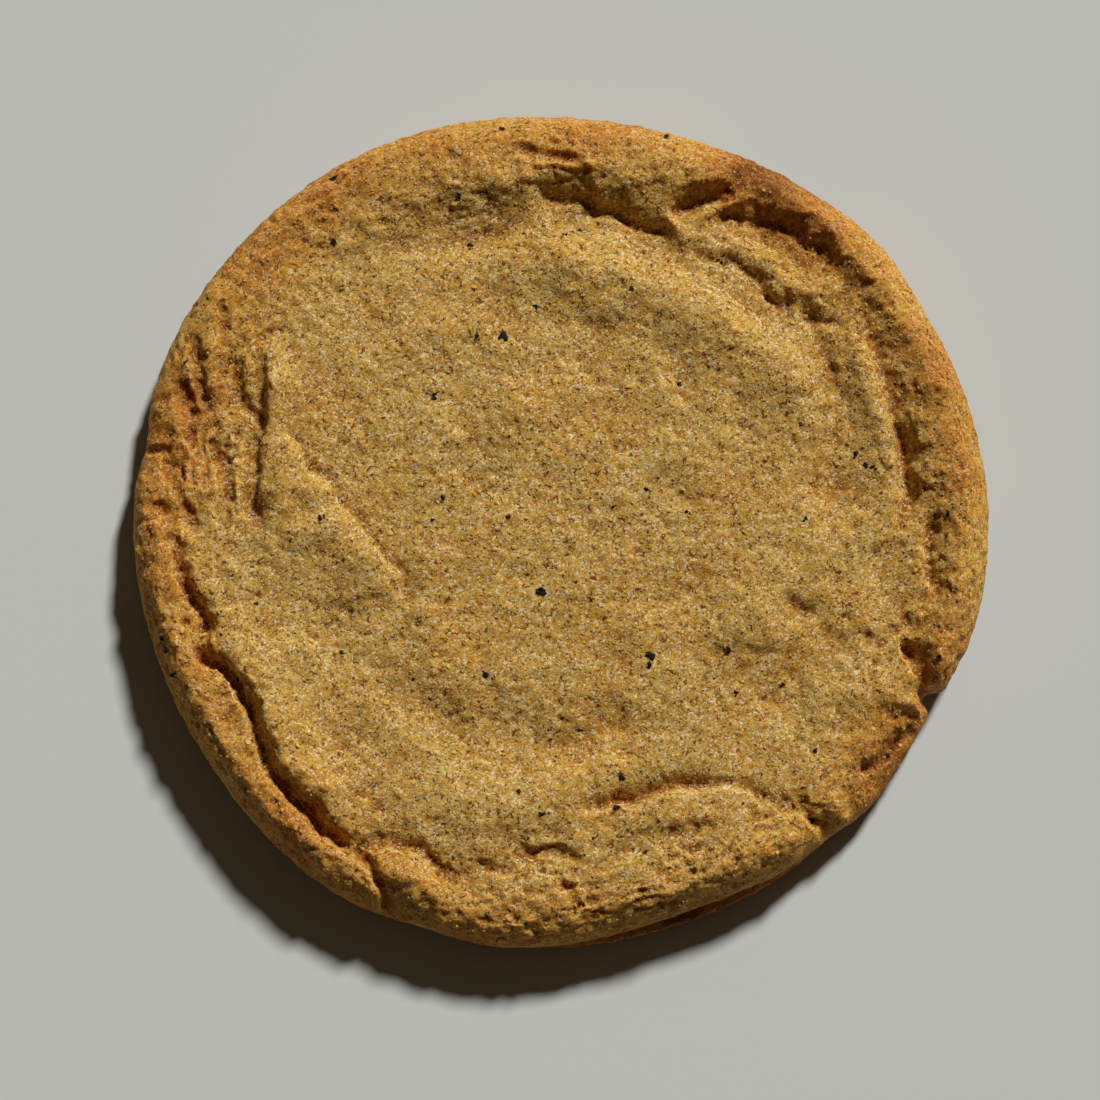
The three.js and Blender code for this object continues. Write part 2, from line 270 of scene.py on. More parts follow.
# %% Measure points against a path
PATH_STEP = 0.7
WALL_CURVE = 1.7


def path_line(path):
    knots = np.array(path, float)
    knots = np.vstack([2 * knots[0] - knots[1], knots, 2 * knots[-1] - knots[-2]])
    line = []
    for before, start, end, after in zip(knots, knots[1:], knots[2:], knots[3:]):
        arc = math.radians(end[0] - start[0]) * (start[1] + end[1]) / 2
        steps = max(2, math.ceil(math.hypot(arc, end[1] - start[1]) / PATH_STEP))
        for t in np.arange(steps) / steps:
            slope = (end - before) * t
            curve = (2 * before - 5 * start + 4 * end - after) * t ** 2
            twist = (3 * start - before - 3 * end + after) * t ** 3
            line.append(start + (slope + curve + twist) / 2)
    line.append(knots[-2])
    return np.array([place(*knot) for knot in line])


def measure(points, line):
    """Distance from the line, positive on its left, and share of the way along it."""
    nearest = np.full(len(points), np.inf)
    side = np.ones(len(points))
    share = np.zeros(len(points))
    for i, (start, end) in enumerate(zip(line, line[1:])):
        run = end - start
        offset = points - start
        along = np.clip(offset @ run / (run @ run), 0, 1)
        away = np.hypot(offset[:, 0] - along * run[0], offset[:, 1] - along * run[1])
        closer = away < nearest
        nearest[closer] = away[closer]
        side[closer] = np.sign(run[0] * offset[closer, 1] - run[1] * offset[closer, 0])
        share[closer] = (i + along[closer]) / (len(line) - 1)
    return nearest * side, share


# %% Add one stroke to the heights
ROUNDING = 0.9
END_FADE = (0.3, 0.3)


def end_fade(share, fade):
    strength = np.ones(len(share))
    if fade[0] > 0:
        strength *= smooth(share / fade[0])
    if fade[1] > 0:
        strength *= smooth((1 - share) / fade[1])
    return strength


def stroke(heights, points, path, roll=(0, 1), left=(0, 1), right=(0, 1), cut=(0, 1, 1),
           rounding=ROUNDING, fade=END_FADE):
    line = path_line(path)
    widest = max(roll[1], left[1], right[1], *cut[1:])
    near = np.all((points > line.min(0) - widest) & (points < line.max(0) + widest), axis=1)
    signed, share = measure(points[near], line)
    away = np.abs(signed)
    on_left = signed > 0
    pressed = np.clip(1 - away / np.where(on_left, cut[1], cut[2]), 0, 1) ** WALL_CURVE
    rounded = 1 - (1 - np.clip(away / rounding, 0, 1)) ** 2
    swell, reach = np.where(on_left, left[0], right[0]), np.where(on_left, left[1], right[1])
    edge = np.where(swell > 0, rounded, 1 - pressed)
    change = roll[0] * smooth(1 - away / roll[1])
    change += swell * edge * smooth(1 - away / reach) - cut[0] * pressed
    heights[near] += change * end_fade(share, fade)


# %% The rolls of the rim
FOLDS = []


def fold(name, path, **shape):
    FOLDS.append((name, path, shape))


fold("rim on the right", [(334.5, 45.5), (342, 46.2), (350, 46.4), (365, 46.5), (385, 46.6),
     (405, 46.5), (422, 46.2)], roll=(1.7, 5.2), fade=(0.05, 0.08))
fold("rim at the back", [(60, 45.3), (75, 44.6), (90, 44.5), (108, 44.5), (125, 45)], roll=(1.5, 6),
     fade=(0.1, 0.3))
fold("rim on the left", [(178, 48), (190, 47.3), (205, 46.8), (220, 46.6), (236, 46.6)],
     roll=(0.9, 3.2), fade=(0.35, 0.05))
fold("short roll", [(239.5, 43.7), (243.8, 43), (249.3, 43.7), (255.7, 43.9)], roll=(0.8, 3.4),
     fade=(0.1, 0.3))
fold("front roll", [(265.7, 36.5), (276.9, 35.4), (286.6, 35.2), (297.4, 36.9), (304.3, 41.4)],
     roll=(0.9, 6), fade=(0.2, 0.15))
fold("front roll, outer part", [(257.1, 43.3), (269.4, 41.6), (282.3, 41.6), (295.4, 42.2),
     (307.6, 44.9)], roll=(0.9, 5), fade=(0.2, 0.05))
fold("corner lobe", [(315, 47), (325, 47), (334, 46)], roll=(-1.4, 6), fade=(0.1, 0.1))

# %% The trench at the back
fold("slope to the trench", [(121.3, 36.5), (113.4, 36), (104, 35.2), (92.5, 35.4), (81.4, 35.9),
     (69.2, 36.3)], roll=(-0.4, 5), fade=(0.35, 0.2))
fold("back trench", [(96.6, 39), (92.8, 39.1), (89.1, 39.2), (86.2, 38.9), (84.7, 38.2), (82.1, 38.1),
     (78.5, 37.4), (75.9, 36.8), (73.6, 36.7), (71.4, 37.3), (70, 38.4)], left=(0.5, 7),
     right=(-1.5, 7), cut=(2.3, 4.2, 0.6), rounding=4, fade=(0.2, 0.12))
fold("back trench, shallow end", [(131, 41.3), (123.7, 39.4), (116.6, 37.2), (108.6, 35.8),
     (101.7, 36.3), (96.3, 37.4)], cut=(1, 7, 3), fade=(0.4, 0.15))
fold("crack in the back rim", [(98.2, 45.2), (95.7, 44.8), (93.2, 44.1), (91, 44), (89.3, 43.3),
     (88.1, 42.7)], cut=(1.2, 1, 0.8), fade=(0.2, 0.2))
fold("rise over the trench", [(115.3, 43.1), (106.6, 42), (95.4, 41.3), (82.5, 41), (74.1, 40.8)],
     roll=(0.7, 4))
fold("crack over the trench", [(71.3, 44.3), (70.4, 43.7), (69.7, 42.9)], cut=(0.6, 0.6, 0.55))

# %% The seam and trenches at the back right
fold("back seam", [(71.8, 39.4), (69.9, 40.6), (68, 41.6), (66.1, 42.5), (64.5, 43.3), (62.9, 43.9)],
     left=(0.5, 5), right=(-1.3, 4), cut=(2.5, 2.4, 0.6), rounding=2.5, fade=(0.15, 0.1))
fold("back seam, to the edge", [(64.6, 43.9), (63.5, 45.3), (63, 46.6), (62.8, 47.7), (62.7, 48.9)],
     cut=(1.8, 1, 0.9), fade=(0.15, 0.1))
fold("back right trench", [(62.6, 43.5), (61.1, 42.6), (59, 42.7), (56.4, 43.4), (53.7, 44),
     (51.4, 44.2), (49.8, 43.9), (48.1, 44.5), (46.6, 45.5), (45.6, 46.8)], left=(0.4, 6),
     right=(-1.6, 6), cut=(2.5, 4.4, 0.6), rounding=4, fade=(0.08, 0.2))
fold("corner trench", [(45.1, 45.7), (43, 45.4), (40.9, 45), (38.6, 44.7), (36.8, 44.5), (34.9, 43.7)],
     right=(-0.4, 4), cut=(0.7, 1.8, 0.6), fade=(0.15, 0.2))
fold("corner crack", [(35.8, 43.2), (35, 44.8), (34.1, 46.5), (33.3, 47.7)], cut=(0.6, 0.5, 0.5),
     fade=(0.1, 0.3))
fold("foot of the shelf", [(67.6, 37.5), (65, 36.6), (62.3, 36.3), (59.4, 36.8), (57.5, 37.6),
     (55.2, 37.4), (52.2, 37), (49.1, 36.5), (46.7, 36.4), (44.6, 36.7), (42.9, 37.4)], left=(0.6, 5),
     right=(-1, 7), cut=(1.7, 3.2, 0.6), rounding=2.5, fade=(0.2, 0.1))
fold("upper shelf", [(47.5, 37), (45.2, 37.7), (43.6, 38.2), (41.1, 38.1), (39.5, 38.7), (37.9, 39.6),
     (35.2, 40.8)], right=(-0.5, 4), cut=(1, 1.8, 0.55), fade=(0.2, 0.2))
fold("ledge of the shelf", [(42.9, 37.6), (40.4, 37.7), (38.1, 37.2), (35.9, 37.1), (33.3, 37.5)],
     right=(-0.5, 3.5), cut=(0.9, 1.6, 0.55), fade=(0.1, 0.2))
fold("slope to the shelf", [(71.9, 36.1), (63.1, 35), (52.4, 34.5), (44.2, 34.2), (35.7, 35.9)],
     roll=(-0.2, 4), fade=(0.2, 0.2))

# %% The trench on the right
fold("foot of the inner ridge", [(34.6, 38.4), (33.4, 37.3), (32, 36.5), (29.3, 36.2), (25, 36),
     (20.1, 35.7), (15.4, 35.4)], left=(0.5, 4), right=(-0.7, 5), cut=(1, 2.8, 0.6),
     rounding=2, fade=(0.15, 0.35))
fold("inner ridge", [(38.8, 40.5), (32.5, 40.2), (25.5, 39.3), (17.6, 38.7), (9, 38)], roll=(0.6, 2.2),
     fade=(0.2, 0.3))
fold("shelf beyond the trench", [(20.1, 44.2), (12.4, 43.7), (4.8, 43.1)], roll=(0.6, 3.5))
fold("edge of the inner ridge", [(33.6, 41.3), (29.7, 41.2), (25.5, 41.2), (22.5, 40.9), (18.4, 40.5),
     (15.1, 40.4), (12.2, 40), (8.9, 39.6), (4.7, 39.5), (1.9, 39.1), (-0.2, 38), (-2.5, 36.8)],
     right=(0.3, 3.5), cut=(1, 2.4, 0.6), rounding=1.6, fade=(0.25, 0.15))
fold("right trench", [(20.5, 40.8), (17.7, 40.7), (14.7, 40.7), (11.4, 40.5), (8.4, 40.2), (5.2, 39.7),
     (2.4, 39.3)], cut=(1.7, 1.9, 0.55), fade=(0.25, 0.2))
fold("lower right trench", [(3, 42.5), (0.2, 42.2), (-3, 42.2), (-6.4, 42.6), (-9.3, 43.5),
     (-12.2, 44.4)], cut=(1.5, 1.8, 0.55), fade=(0.2, 0.35))
fold("sunken floor", [(359.3, 38.2), (354.1, 38.4), (349.4, 38.3), (342.5, 36.3)], roll=(-0.7, 4))
fold("notch", [(342.9, 41.3), (340.8, 41.9), (339.2, 43.1), (337.6, 44.3), (336, 45.3), (334.4, 46.4),
     (333.1, 47.4)], cut=(2.5, 3.8, 0.6), fade=(0.2, 0))
fold("seam of the lobe", [(339.6, 36.2), (340, 37.6), (340.8, 38.8), (343.1, 39.8), (345.3, 41),
     (347.7, 41.9)], cut=(0.9, 1.2, 0.55), fade=(0.15, 0.3))
fold("scoop", [(344.6, 25.8), (342.7, 27.7), (341, 29.5), (338.3, 31)], cut=(1.5, 3.2, 4.2),
     fade=(0.35, 0.35))
fold("lip of the lobe", [(320.5, 43.9), (322.9, 44.8), (325.3, 45.3), (327.7, 45.7), (329.9, 46.2),
     (331.1, 46.5)], right=(-0.6, 5), cut=(2.2, 1.4, 0.7), fade=(0.1, 0.2))

# %% Creases at the front
fold("front crease", [(268.6, 31.9), (273.4, 31.9), (278.8, 32), (281.8, 32.1), (284.6, 32),
     (287.5, 31.7), (290.6, 31.8), (293.8, 32), (297.1, 32.7), (300.6, 34.1), (303.6, 35.1),
     (305.8, 36.2), (306.4, 37), (306.6, 38.2), (307.5, 39.9), (308.7, 41), (310.5, 41.6),
     (310.6, 42.4), (310.4, 43.7), (311.1, 44.7), (311.1, 46.3)], cut=(1.1, 1.4, 0.55),
     fade=(0.3, 0.02))
fold("front crease, deep part", [(270.3, 32.6), (279.7, 32.1), (288.4, 31.8), (297, 32.8),
     (304.1, 35.4)], cut=(1.3, 3.2, 0.6))
fold("front crease, open end", [(310.5, 41.9), (310.4, 43.7), (311.1, 44.9), (311.2, 46.7)],
     cut=(1.3, 2.8, 0.55), fade=(0.3, 0))
fold("crack above it", [(313.3, 39.6), (312.2, 40.5), (311.1, 41.5)], cut=(0.8, 0.6, 0.5),
     fade=(0.4, 0))
fold("dip in the front roll", [(273.8, 38), (278.7, 37.2), (285.7, 37), (294.8, 37.8)],
     roll=(-0.5, 2.4))
fold("crease along the front roll", [(253.9, 40.7), (255.4, 39.9), (257.6, 39.7), (260.9, 39.3),
     (262, 38.6), (263.2, 37.9), (265.4, 37.2), (267.6, 37.1), (270.3, 37.2), (272.2, 37.8),
     (273.8, 37.9)], cut=(1, 1.3, 0.55), fade=(0.15, 0.25))
fold("front crack 1", [(274.2, 39.2), (276, 38.3), (278.5, 37.9), (280.5, 37.2), (282.3, 36.7)],
     cut=(0.8, 0.7, 0.55), fade=(0.2, 0.2))
fold("front crack 2", [(285.7, 40.1), (287.9, 39.5), (290.4, 39.1)], cut=(0.7, 0.6, 0.55),
     fade=(0.2, 0.2))
fold("front crack 3", [(288.2, 36.1), (290.7, 36.9), (292.9, 37.7), (295, 37.5), (297, 38.2)],
     cut=(0.6, 0.6, 0.55), fade=(0.2, 0.2))
fold("front crack 4", [(268.7, 38.8), (269.6, 40.3), (271, 42.3), (272.5, 43.5)], cut=(0.8, 0.9, 0.55),
     fade=(0.2, 0.2))
fold("front crack 5", [(290.1, 42), (291.8, 42.2), (294, 42)], cut=(0.7, 0.7, 0.5), fade=(0.2, 0.2))
fold("front crack 6", [(303, 38), (304.1, 39.8), (306.4, 40.7)], cut=(0.5, 0.6, 0.55), fade=(0.2, 0.2))

# %% The long seam on the left
fold("left seam", [(176.8, 48.5), (178.3, 46.8), (180.7, 46.2), (182.2, 45.3), (184.3, 45.1),
     (186.4, 44.6), (188.9, 44.3), (190.6, 44), (192.1, 43.2), (193.9, 42.9), (196.4, 43.8),
     (198.7, 44.5), (200, 43.7), (201.9, 42.9), (204.1, 42.2), (206.3, 41.6), (208.8, 41.9),
     (210.9, 42.2), (213.2, 42.3), (215.5, 42.9), (217.6, 43.5), (220.3, 43.9), (223, 43.7),
     (226.1, 43.6), (229, 44.1), (232.2, 44.1), (234.9, 44), (236.9, 43.8)], left=(0.8, 8),
     cut=(2.3, 1.7, 0.6), rounding=2.2, fade=(0.25, 0.03))
fold("mouth of the seam", [(223.6, 43.3), (226.9, 43.3), (229.7, 43.8), (233, 44), (236, 43.9)],
     cut=(1, 3, 0.5), fade=(0.35, 0.12))
fold("fork of the seam", [(190.4, 44.4), (192.5, 45), (194.6, 45.6), (196.2, 46.4)],
     cut=(0.9, 0.7, 0.5), fade=(0.1, 0.3))
fold("seam to the edge", [(236.8, 43.6), (238.6, 44.4), (240.5, 44.9), (241.8, 45.8), (243.9, 46.7),
     (245.4, 47.5), (246.7, 48.2), (247.9, 48.9)], cut=(1.8, 1.4, 0.55), fade=(0.03, 0))
fold("seam to the edge, mouth", [(242.1, 46), (244.3, 47.2), (246.3, 48.1), (247.9, 49)],
     cut=(1, 2.2, 0.55), fade=(0.4, 0))
fold("crease of the short roll", [(237.3, 43.4), (238.2, 42.5), (240.2, 41.4), (242.2, 40.9),
     (244.1, 40.5), (246, 40.6), (247.9, 41), (249.8, 41.7), (251.3, 42.1), (252.9, 42.3),
     (254.1, 42.2)], cut=(1.5, 1.8, 0.55), fade=(0.06, 0.2))
fold("swell inside the seam", [(191.5, 40), (202.5, 39.1), (214, 39.6), (224.5, 40.4), (234.8, 39.9)],
     roll=(1.3, 5.6), fade=(0.3, 0.2))
fold("hollow inside the seam", [(203.5, 20), (212.9, 23.3), (221.7, 27.7), (228.9, 30.6)],
     roll=(-0.6, 6))

# %% Folds in the plateau
fold("plateau fold", [(160.6, 34.8), (160.6, 33.1), (162.4, 31.8), (165.1, 30.2), (168.1, 27.6),
     (173.5, 25.5), (177.7, 23.4), (182.7, 21.9), (186.9, 20.3), (192.8, 19.4), (199.5, 19.1),
     (205.7, 20), (211.8, 21.8)], right=(1.4, 8.5), cut=(0.7, 0.5, 0.55), rounding=4, fade=(0.08, 0.3))
fold("dip behind the swell", [(114.2, 23.6), (99.1, 24.5), (82.8, 24.4), (67.6, 23.3)],
     roll=(-0.35, 3.2))
fold("dip by the crack", [(63.2, 26.1), (54.6, 22.9), (44.4, 19.2)], roll=(-0.45, 2.6))
fold("diagonal crack", [(157.6, 35), (155.5, 34.1), (153.2, 33.4), (150.3, 32.8)], cut=(0.5, 0.6, 0.55),
     fade=(0.2, 0.3))
fold("crack in the middle", [(53.9, 25.1), (52.2, 23.3), (49.5, 21.5), (46.5, 20.3)],
     cut=(0.45, 0.5, 0.55), fade=(0.2, 0.3))
fold("back right swell", [(97.5, 29.9), (87.5, 30), (75.2, 30.1), (58.3, 30.1), (43.4, 30.5),
     (29.9, 31.6), (21.3, 32.2)], roll=(1.1, 6.5), fade=(0.15, 0.2))
fold("back right dip", [(59.1, 25.1), (43.5, 25.8), (27.6, 28.3), (18.3, 30.7)], roll=(-0.25, 6))
fold("back dip", [(103, 27.5), (94.4, 28.2), (86.1, 27.8), (76.3, 27.6), (62.7, 26.9)], roll=(-0.2, 5),
     fade=(0.25, 0.25))
fold("back crest", [(116.7, 34.5), (103.1, 32.5), (90.7, 32.6), (74.1, 32.4)], roll=(0.4, 4.5))
fold("front dip", [(214.5, 22.3), (230.7, 25.3), (246.5, 25.8), (263.6, 24.4), (283.3, 23.5),
     (304.6, 23.8)], roll=(-0.9, 5))
fold("front crest", [(233.2, 34.6), (245.3, 34.3), (257.1, 32.9), (269.2, 29.8), (288.1, 28.5),
     (302.5, 29.4)], roll=(0.8, 5), fade=(0.2, 0.3))
fold("ridge beside the crumble", [(146, 41.6), (152.8, 38.3), (161, 36), (171.9, 33.9), (185.8, 33)],
     roll=(1, 3.4), fade=(0.15, 0.25))

# %% Cracks of the crumbled left rim
fold("edge of the plateau", [(182.6, 35.3), (174.2, 35.8), (168.8, 36.4), (163.8, 37), (160.7, 37.3),
     (156.6, 38.2), (152.1, 39.8), (149, 40.8), (146.7, 41)], left=(-0.3, 5), cut=(1.5, 2.6, 0.7),
     fade=(0.3, 0.15))
fold("crumble crack 1", [(148.7, 42.6), (147.2, 41.5), (145.7, 40.9), (144, 40.2)], cut=(1.4, 0.8, 0.5),
     fade=(0.25, 0.15))
fold("crumble crack 2", [(146.2, 48.6), (147.7, 47.5), (148.9, 46.5), (149.8, 45)], cut=(1, 1, 0.55),
     fade=(0.2, 0.2))
fold("crumble crack 3", [(150.4, 43.6), (153.7, 42.7), (156.5, 41.6), (158.2, 40.3), (159.2, 38.9)],
     cut=(1, 1.1, 1.8))
fold("crumble crack 4", [(151.2, 48.9), (153.8, 47.5), (157.5, 45.7), (160, 44.3), (161.5, 42.7)],
     cut=(0.8, 1.1, 2))
fold("crumble crack 5", [(155.1, 49.8), (158.7, 48.2), (161.6, 46.3), (164.5, 44.8), (166.9, 44.1),
     (169.8, 43.2)], cut=(0.9, 1.1, 1.8))
fold("crumble crack 6", [(164.7, 42.7), (166.7, 41.9), (168.2, 41.3), (169.5, 41.3)], cut=(0.9, 1, 0.7),
     fade=(0.2, 0.2))
fold("gap in the rim", [(168.6, 49.2), (168.3, 48.1), (167.4, 47.3)], cut=(2.2, 1.3, 0.6),
     fade=(0, 0.3))
fold("crumble crack 7", [(167.5, 47.5), (169.9, 46.8), (171.4, 45.9), (173.1, 45.2), (175.7, 44.6)],
     cut=(0.8, 0.9, 1.4), fade=(0.2, 0.2))
fold("crumble crack 8", [(162.5, 40.8), (166.6, 40.4), (170.6, 39.5), (174.8, 39.4), (178.8, 38.8)],
     cut=(0.9, 1, 1.7))
fold("crumble crack 9", [(173.1, 45.2), (176.1, 44.1), (178.9, 42.9), (181.7, 42.3)],
     cut=(0.9, 0.7, 1.5))
fold("crumble crack 10", [(164.3, 38.2), (169.2, 37.8), (174.4, 37), (178, 37.2)], cut=(0.7, 0.7, 1.5))
fold("crumble crack 11", [(176, 48), (176.8, 47.1), (177.4, 46)], cut=(1.4, 1.4, 0.5), fade=(0.2, 0.2))
fold("crumble crack 12", [(152.1, 49.8), (153.5, 48.6), (155.5, 47.7)], cut=(0.6, 1.2, 0.8),
     fade=(0.2, 0.2))
fold("crumble ridge 1", [(150.4, 48.1), (153.2, 46.5), (157.2, 44.6), (159.1, 43.1)], roll=(0.5, 1.7))
fold("crumble ridge 2", [(150, 42.9), (153.1, 41.3), (156.9, 39.9)], roll=(0.45, 1.9))
fold("crumble ridge 3", [(161.7, 41), (166.9, 39), (172.8, 38), (178.9, 37.5)], roll=(0.35, 2))
fold("crumble ridge 4", [(161.4, 49.3), (163, 47.1), (165.5, 45.9), (170.8, 44.3), (178.3, 44.2)],
     roll=(0.45, 1.7))
fold("crumble crack 13", [(158.5, 40.2), (159.7, 38.5), (161.1, 36.9)], cut=(0.8, 1.3, 0.5),
     fade=(0.2, 0.2))

# %% [markdown]
# ## Shaping the top
# The strokes and a few single dents add up to one height for every point of the top. The
# heights fade down the rounded edge, so the side stays full while the rim rolls. A sum of
# waves with seeded directions swells the plateau a little. The same kind of sum shifts the
# points before they are measured against the paths, so that no seam runs too smoothly.

# %% Dents and swells of the top
# degrees round, mm out, mm to where it has faded out, mm upwards
DENTS = [
    (165, 49.6, 14, -1.8), (321.7, 29.7, 7, -0.8), (355.7, 29.2, 5, 0.6), (316.8, 32.8, 4.5, 0.5),
    (145.7, 18.7, 4.5, 0.4), (309.1, 14, 5, 0.3), (204.3, 33.5, 4.5, 0.4), (65.2, 40.5, 3, 0.6),
    (43.6, 41.4, 3.5, 0.6), (133.2, 44.6, 8, -0.4), (110.8, 43.5, 6, -0.5), (241.8, 39.3, 2.2, -0.5),
    (27.7, 40.1, 3.5, 0.4), (106.9, 34, 5, -0.5), (132.9, 34.6, 7, -0.6), (121.6, 27.3, 5, 0.4),
    (79.1, 21.1, 6, -0.6), (109.8, 14.9, 6, 0.6), (73.2, 14.6, 4.5, -0.3), (203.2, 29.2, 5.5, -0.8),
    (224.7, 34.5, 5, -0.5), (334.2, 14.4, 6, -0.5), (226.3, 19.9, 6, 0.4), (11.4, 32.2, 6.5, -0.8),
    (341.4, 25, 7.5, 0.8), (325.1, 22.1, 5, 0.4), (336.6, 34.7, 5.5, -0.4), (251.6, 41.6, 3.5, -0.6),
    (276.8, 35.5, 4, -0.5), (105.4, 27.8, 4.5, -0.4), (183.6, 31.5, 6, 0.7), (152.3, 37.6, 4.5, 0.5),
    (178.3, 43.5, 5, -0.6), (335, 25.8, 5, 0.4), (331.5, 32.5, 6, -0.5), (199.2, 20.1, 4.5, -0.5),
    (90.7, 31.2, 4.5, 0.3), (331.1, 40.6, 6, 0.4), (318.8, 31.8, 5, -0.4), (245.2, 23.1, 5, -0.4),
    (269.1, 25.4, 4.5, -0.4), (281.4, 21.4, 4.5, -0.4), (256.5, 41.4, 4, -0.5), (272.8, 39.6, 4, -0.5),
    (308, 21.9, 5, 0.4), (146.2, 11.7, 5, -0.3), (108.4, 16, 4, 0.3), (139.4, 18.9, 4, 0.3),
    (333.9, 22.1, 6, 0.35), (254.4, 22.1, 5, -0.4), (130.9, 28.1, 4.5, 0.4), (147.1, 33.9, 4.5, -0.4),
    (187.2, 26.7, 4.5, -0.4), (154.5, 25.9, 4, -0.3), (5.3, 32.8, 4.5, -0.4), (170.8, 36.8, 4, 0.4),
    (333.7, 41.6, 4, 0.4), (326.1, 38.9, 4, -0.4), (347.5, 35.9, 3.5, 0.5), (322.1, 34.7, 4.5, -0.4),
    (182.1, 28.2, 5, 0.4), (222.2, 41.2, 3.5, 0.4), (209.5, 24.4, 4, 0.35), (83.1, 30.5, 4, -0.2),
    (90.9, 26.2, 3, 0.3), (155.5, 38, 3.5, 0.4), (122.1, 36.8, 5, -0.4), (129.1, 40.2, 6, -0.5),
    (52.2, 37.5, 3, -0.5), (62.4, 39.6, 3, -0.5), (98.8, 44.4, 3.5, -0.5), (313.6, 43.1, 4, 0.4),
    (243.5, 34.2, 3.5, -0.4), (51.8, 34, 4, -0.3),
]
SWELL_WAVES = 24
SWELL_LENGTH = 9
SWELL_HEIGHT = 0.03
WARP_LENGTH = 5
WARP_HEIGHT = 0.16
TOP_CENTRE = np.array([0.0, -0.7])


def waves(points, length, height, seed):
    chance = random.Random(seed)
    total = np.zeros(len(points))
    for _ in range(SWELL_WAVES):
        heading = chance.uniform(0, 2 * math.pi)
        turns = 2 * math.pi / (length * chance.uniform(0.75, 1.35))
        across = points[:, 0] * math.cos(heading) + points[:, 1] * math.sin(heading)
        total += np.cos(across * turns + chance.uniform(0, 2 * math.pi))
    return height * total * math.sqrt(2 / SWELL_WAVES)


def add_spots(values, points, spots):
    for degrees, distance, reach, amount in spots:
        x, y = place(degrees, distance)
        away = np.hypot(points[:, 0] - x, points[:, 1] - y)
        values += amount * smooth(1 - away / reach)


def top_heights(points):
    warp = [waves(points, WARP_LENGTH, WARP_HEIGHT, "warp " + axis) for axis in "xy"]
    warped = points + np.stack(warp, axis=1)
    heights = np.zeros(len(points))
    for _, path, shape in FOLDS:
        stroke(heights, warped, path, **shape)
    add_spots(heights, points, DENTS)
    heights += waves(points, SWELL_LENGTH, SWELL_HEIGHT, "swell 9")
    return heights


def on_plan(points):
    return (points[:, :2] - TOP_CENTRE) / (1, FRONT_TO_BACK)


def fold_top(piece):
    points = points_mm(piece)
    rise = np.clip((points[:, 2] - WIDEST_HEIGHT) / (PLATEAU_HEIGHT - WIDEST_HEIGHT), 0, 1)
    on_top = rise > 0
    heights = np.zeros(len(points))
    heights[on_top] = top_heights(on_plan(points[on_top]))
    push(piece, heights * rise, "Z")
    print(len(FOLDS), "folds:", ", ".join(name for name, _, _ in FOLDS))
    print("they go from", round(heights.min(), 1), "to", round(heights.max(), 1), "mm")


fold_top(cookie)

# %% [markdown]
# ## A finer mesh
# Crumb needs faces well under half a millimetre, and stretched faces at the seams have to
# be evened out again. A second voxel remesh does both.

# %% Fine mesh
FINE_VOXEL = 0.33

even_mesh(cookie, FINE_VOXEL)

# %% [markdown]
# ## Crumb, cracks and pits
# Baked crumb is never smooth. A Displace modifier with a clouds texture breaks up the
# straight lines of the seams and gives grain of about a millimetre. The same texture with
# hard noise gives lumps with creases between them. Short cracks run roughly along the rim
# where the crust has crumbled: they lie where a stretched noise crosses zero, kept only in
# patches. Pits are single bubbles that opened while baking.

# %% Rough grain
TOP_START = 0.3
TOP_BLEND = 1.5
RIM_START = 34
RIM_BLEND = 10
PLATEAU_CRUMB = 0.55
SIDE_CRUMB = 0.4
SIDE_BLEND = 3
FACING_BLEND = 2


def above_base(points):
    return smooth((points[:, 2] - TOP_START) / TOP_BLEND)


def facing_up(points):
    return smooth((points[:, 2] - WIDEST_HEIGHT) / FACING_BLEND)


def crumbly(points):
    rim = smooth((polar(points)[1] - RIM_START) / RIM_BLEND)
    on_top = SIDE_CRUMB + (1 - SIDE_CRUMB) * smooth((points[:, 2] - WIDEST_HEIGHT) / SIDE_BLEND)
    return above_base(points) * on_top * (PLATEAU_CRUMB + (1 - PLATEAU_CRUMB) * rim)


def clouds(size, depth=1):
    texture = bpy.data.textures.new("crumb", "CLOUDS")
    texture.noise_scale = size * MM
    texture.noise_depth = depth
    texture.noise_basis = "IMPROVED_PERLIN"
    return texture


def lumps(size, depth=1):
    texture = clouds(size, depth)
    texture.noise_type = "HARD_NOISE"
    return texture


def roughen(piece, texture, amount, direction, share):
    paint_group(piece, "amount", share(points_mm(piece)))
    displace = piece.modifiers.new("roughen", "DISPLACE")
    displace.texture = texture
    displace.texture_coords = "LOCAL"
    displace.direction = direction
    displace.mid_level = 0.5
    displace.strength = amount * MM
    displace.vertex_group = "amount"
    apply_modifier(piece, displace)
    piece.vertex_groups.clear()


roughen(cookie, clouds(1.7), 0.3, "X", above_base)
roughen(cookie, clouds(1.5), 0.3, "Y", above_base)
roughen(cookie, lumps(6, 2), 1.0, "Z", above_base)

# %% Short cracks that run along the rim
CRACK_LENGTH = 4.0
CRACK_SPACING = 1.5
CRACK_WIDTH = 0.16
CRACK_PATCH = 5.0
CRACK_RING = 0.8
PATCH_LAYER = 7
PATCH_SHARE = 0.5
PATCH_CONTRAST = 3
# middle and half width in degrees, from and to in mm out, depth in mm
CRACK_ZONES = [
    (166, 22, 36, 50, 0.32), (280, 36, 36, 48, 0.28), (88, 22, 37, 45, 0.12), (9, 17, 41, 45, 0.2),
]
EVERYWHERE_CRACKS = 0.14
ZONE_BLEND = 2.5


def crack_depths(points):
    degrees, distance = polar(points)
    depths = np.full(len(points), EVERYWHERE_CRACKS)
    for middle, span, inside, outside, depth in CRACK_ZONES:
        band = smooth((distance - inside) / ZONE_BLEND) * smooth((outside - distance) / ZONE_BLEND)
        depths += depth * band * smooth(2 - 2 * np.abs(turn_between(middle, degrees)) / span)
    return depths


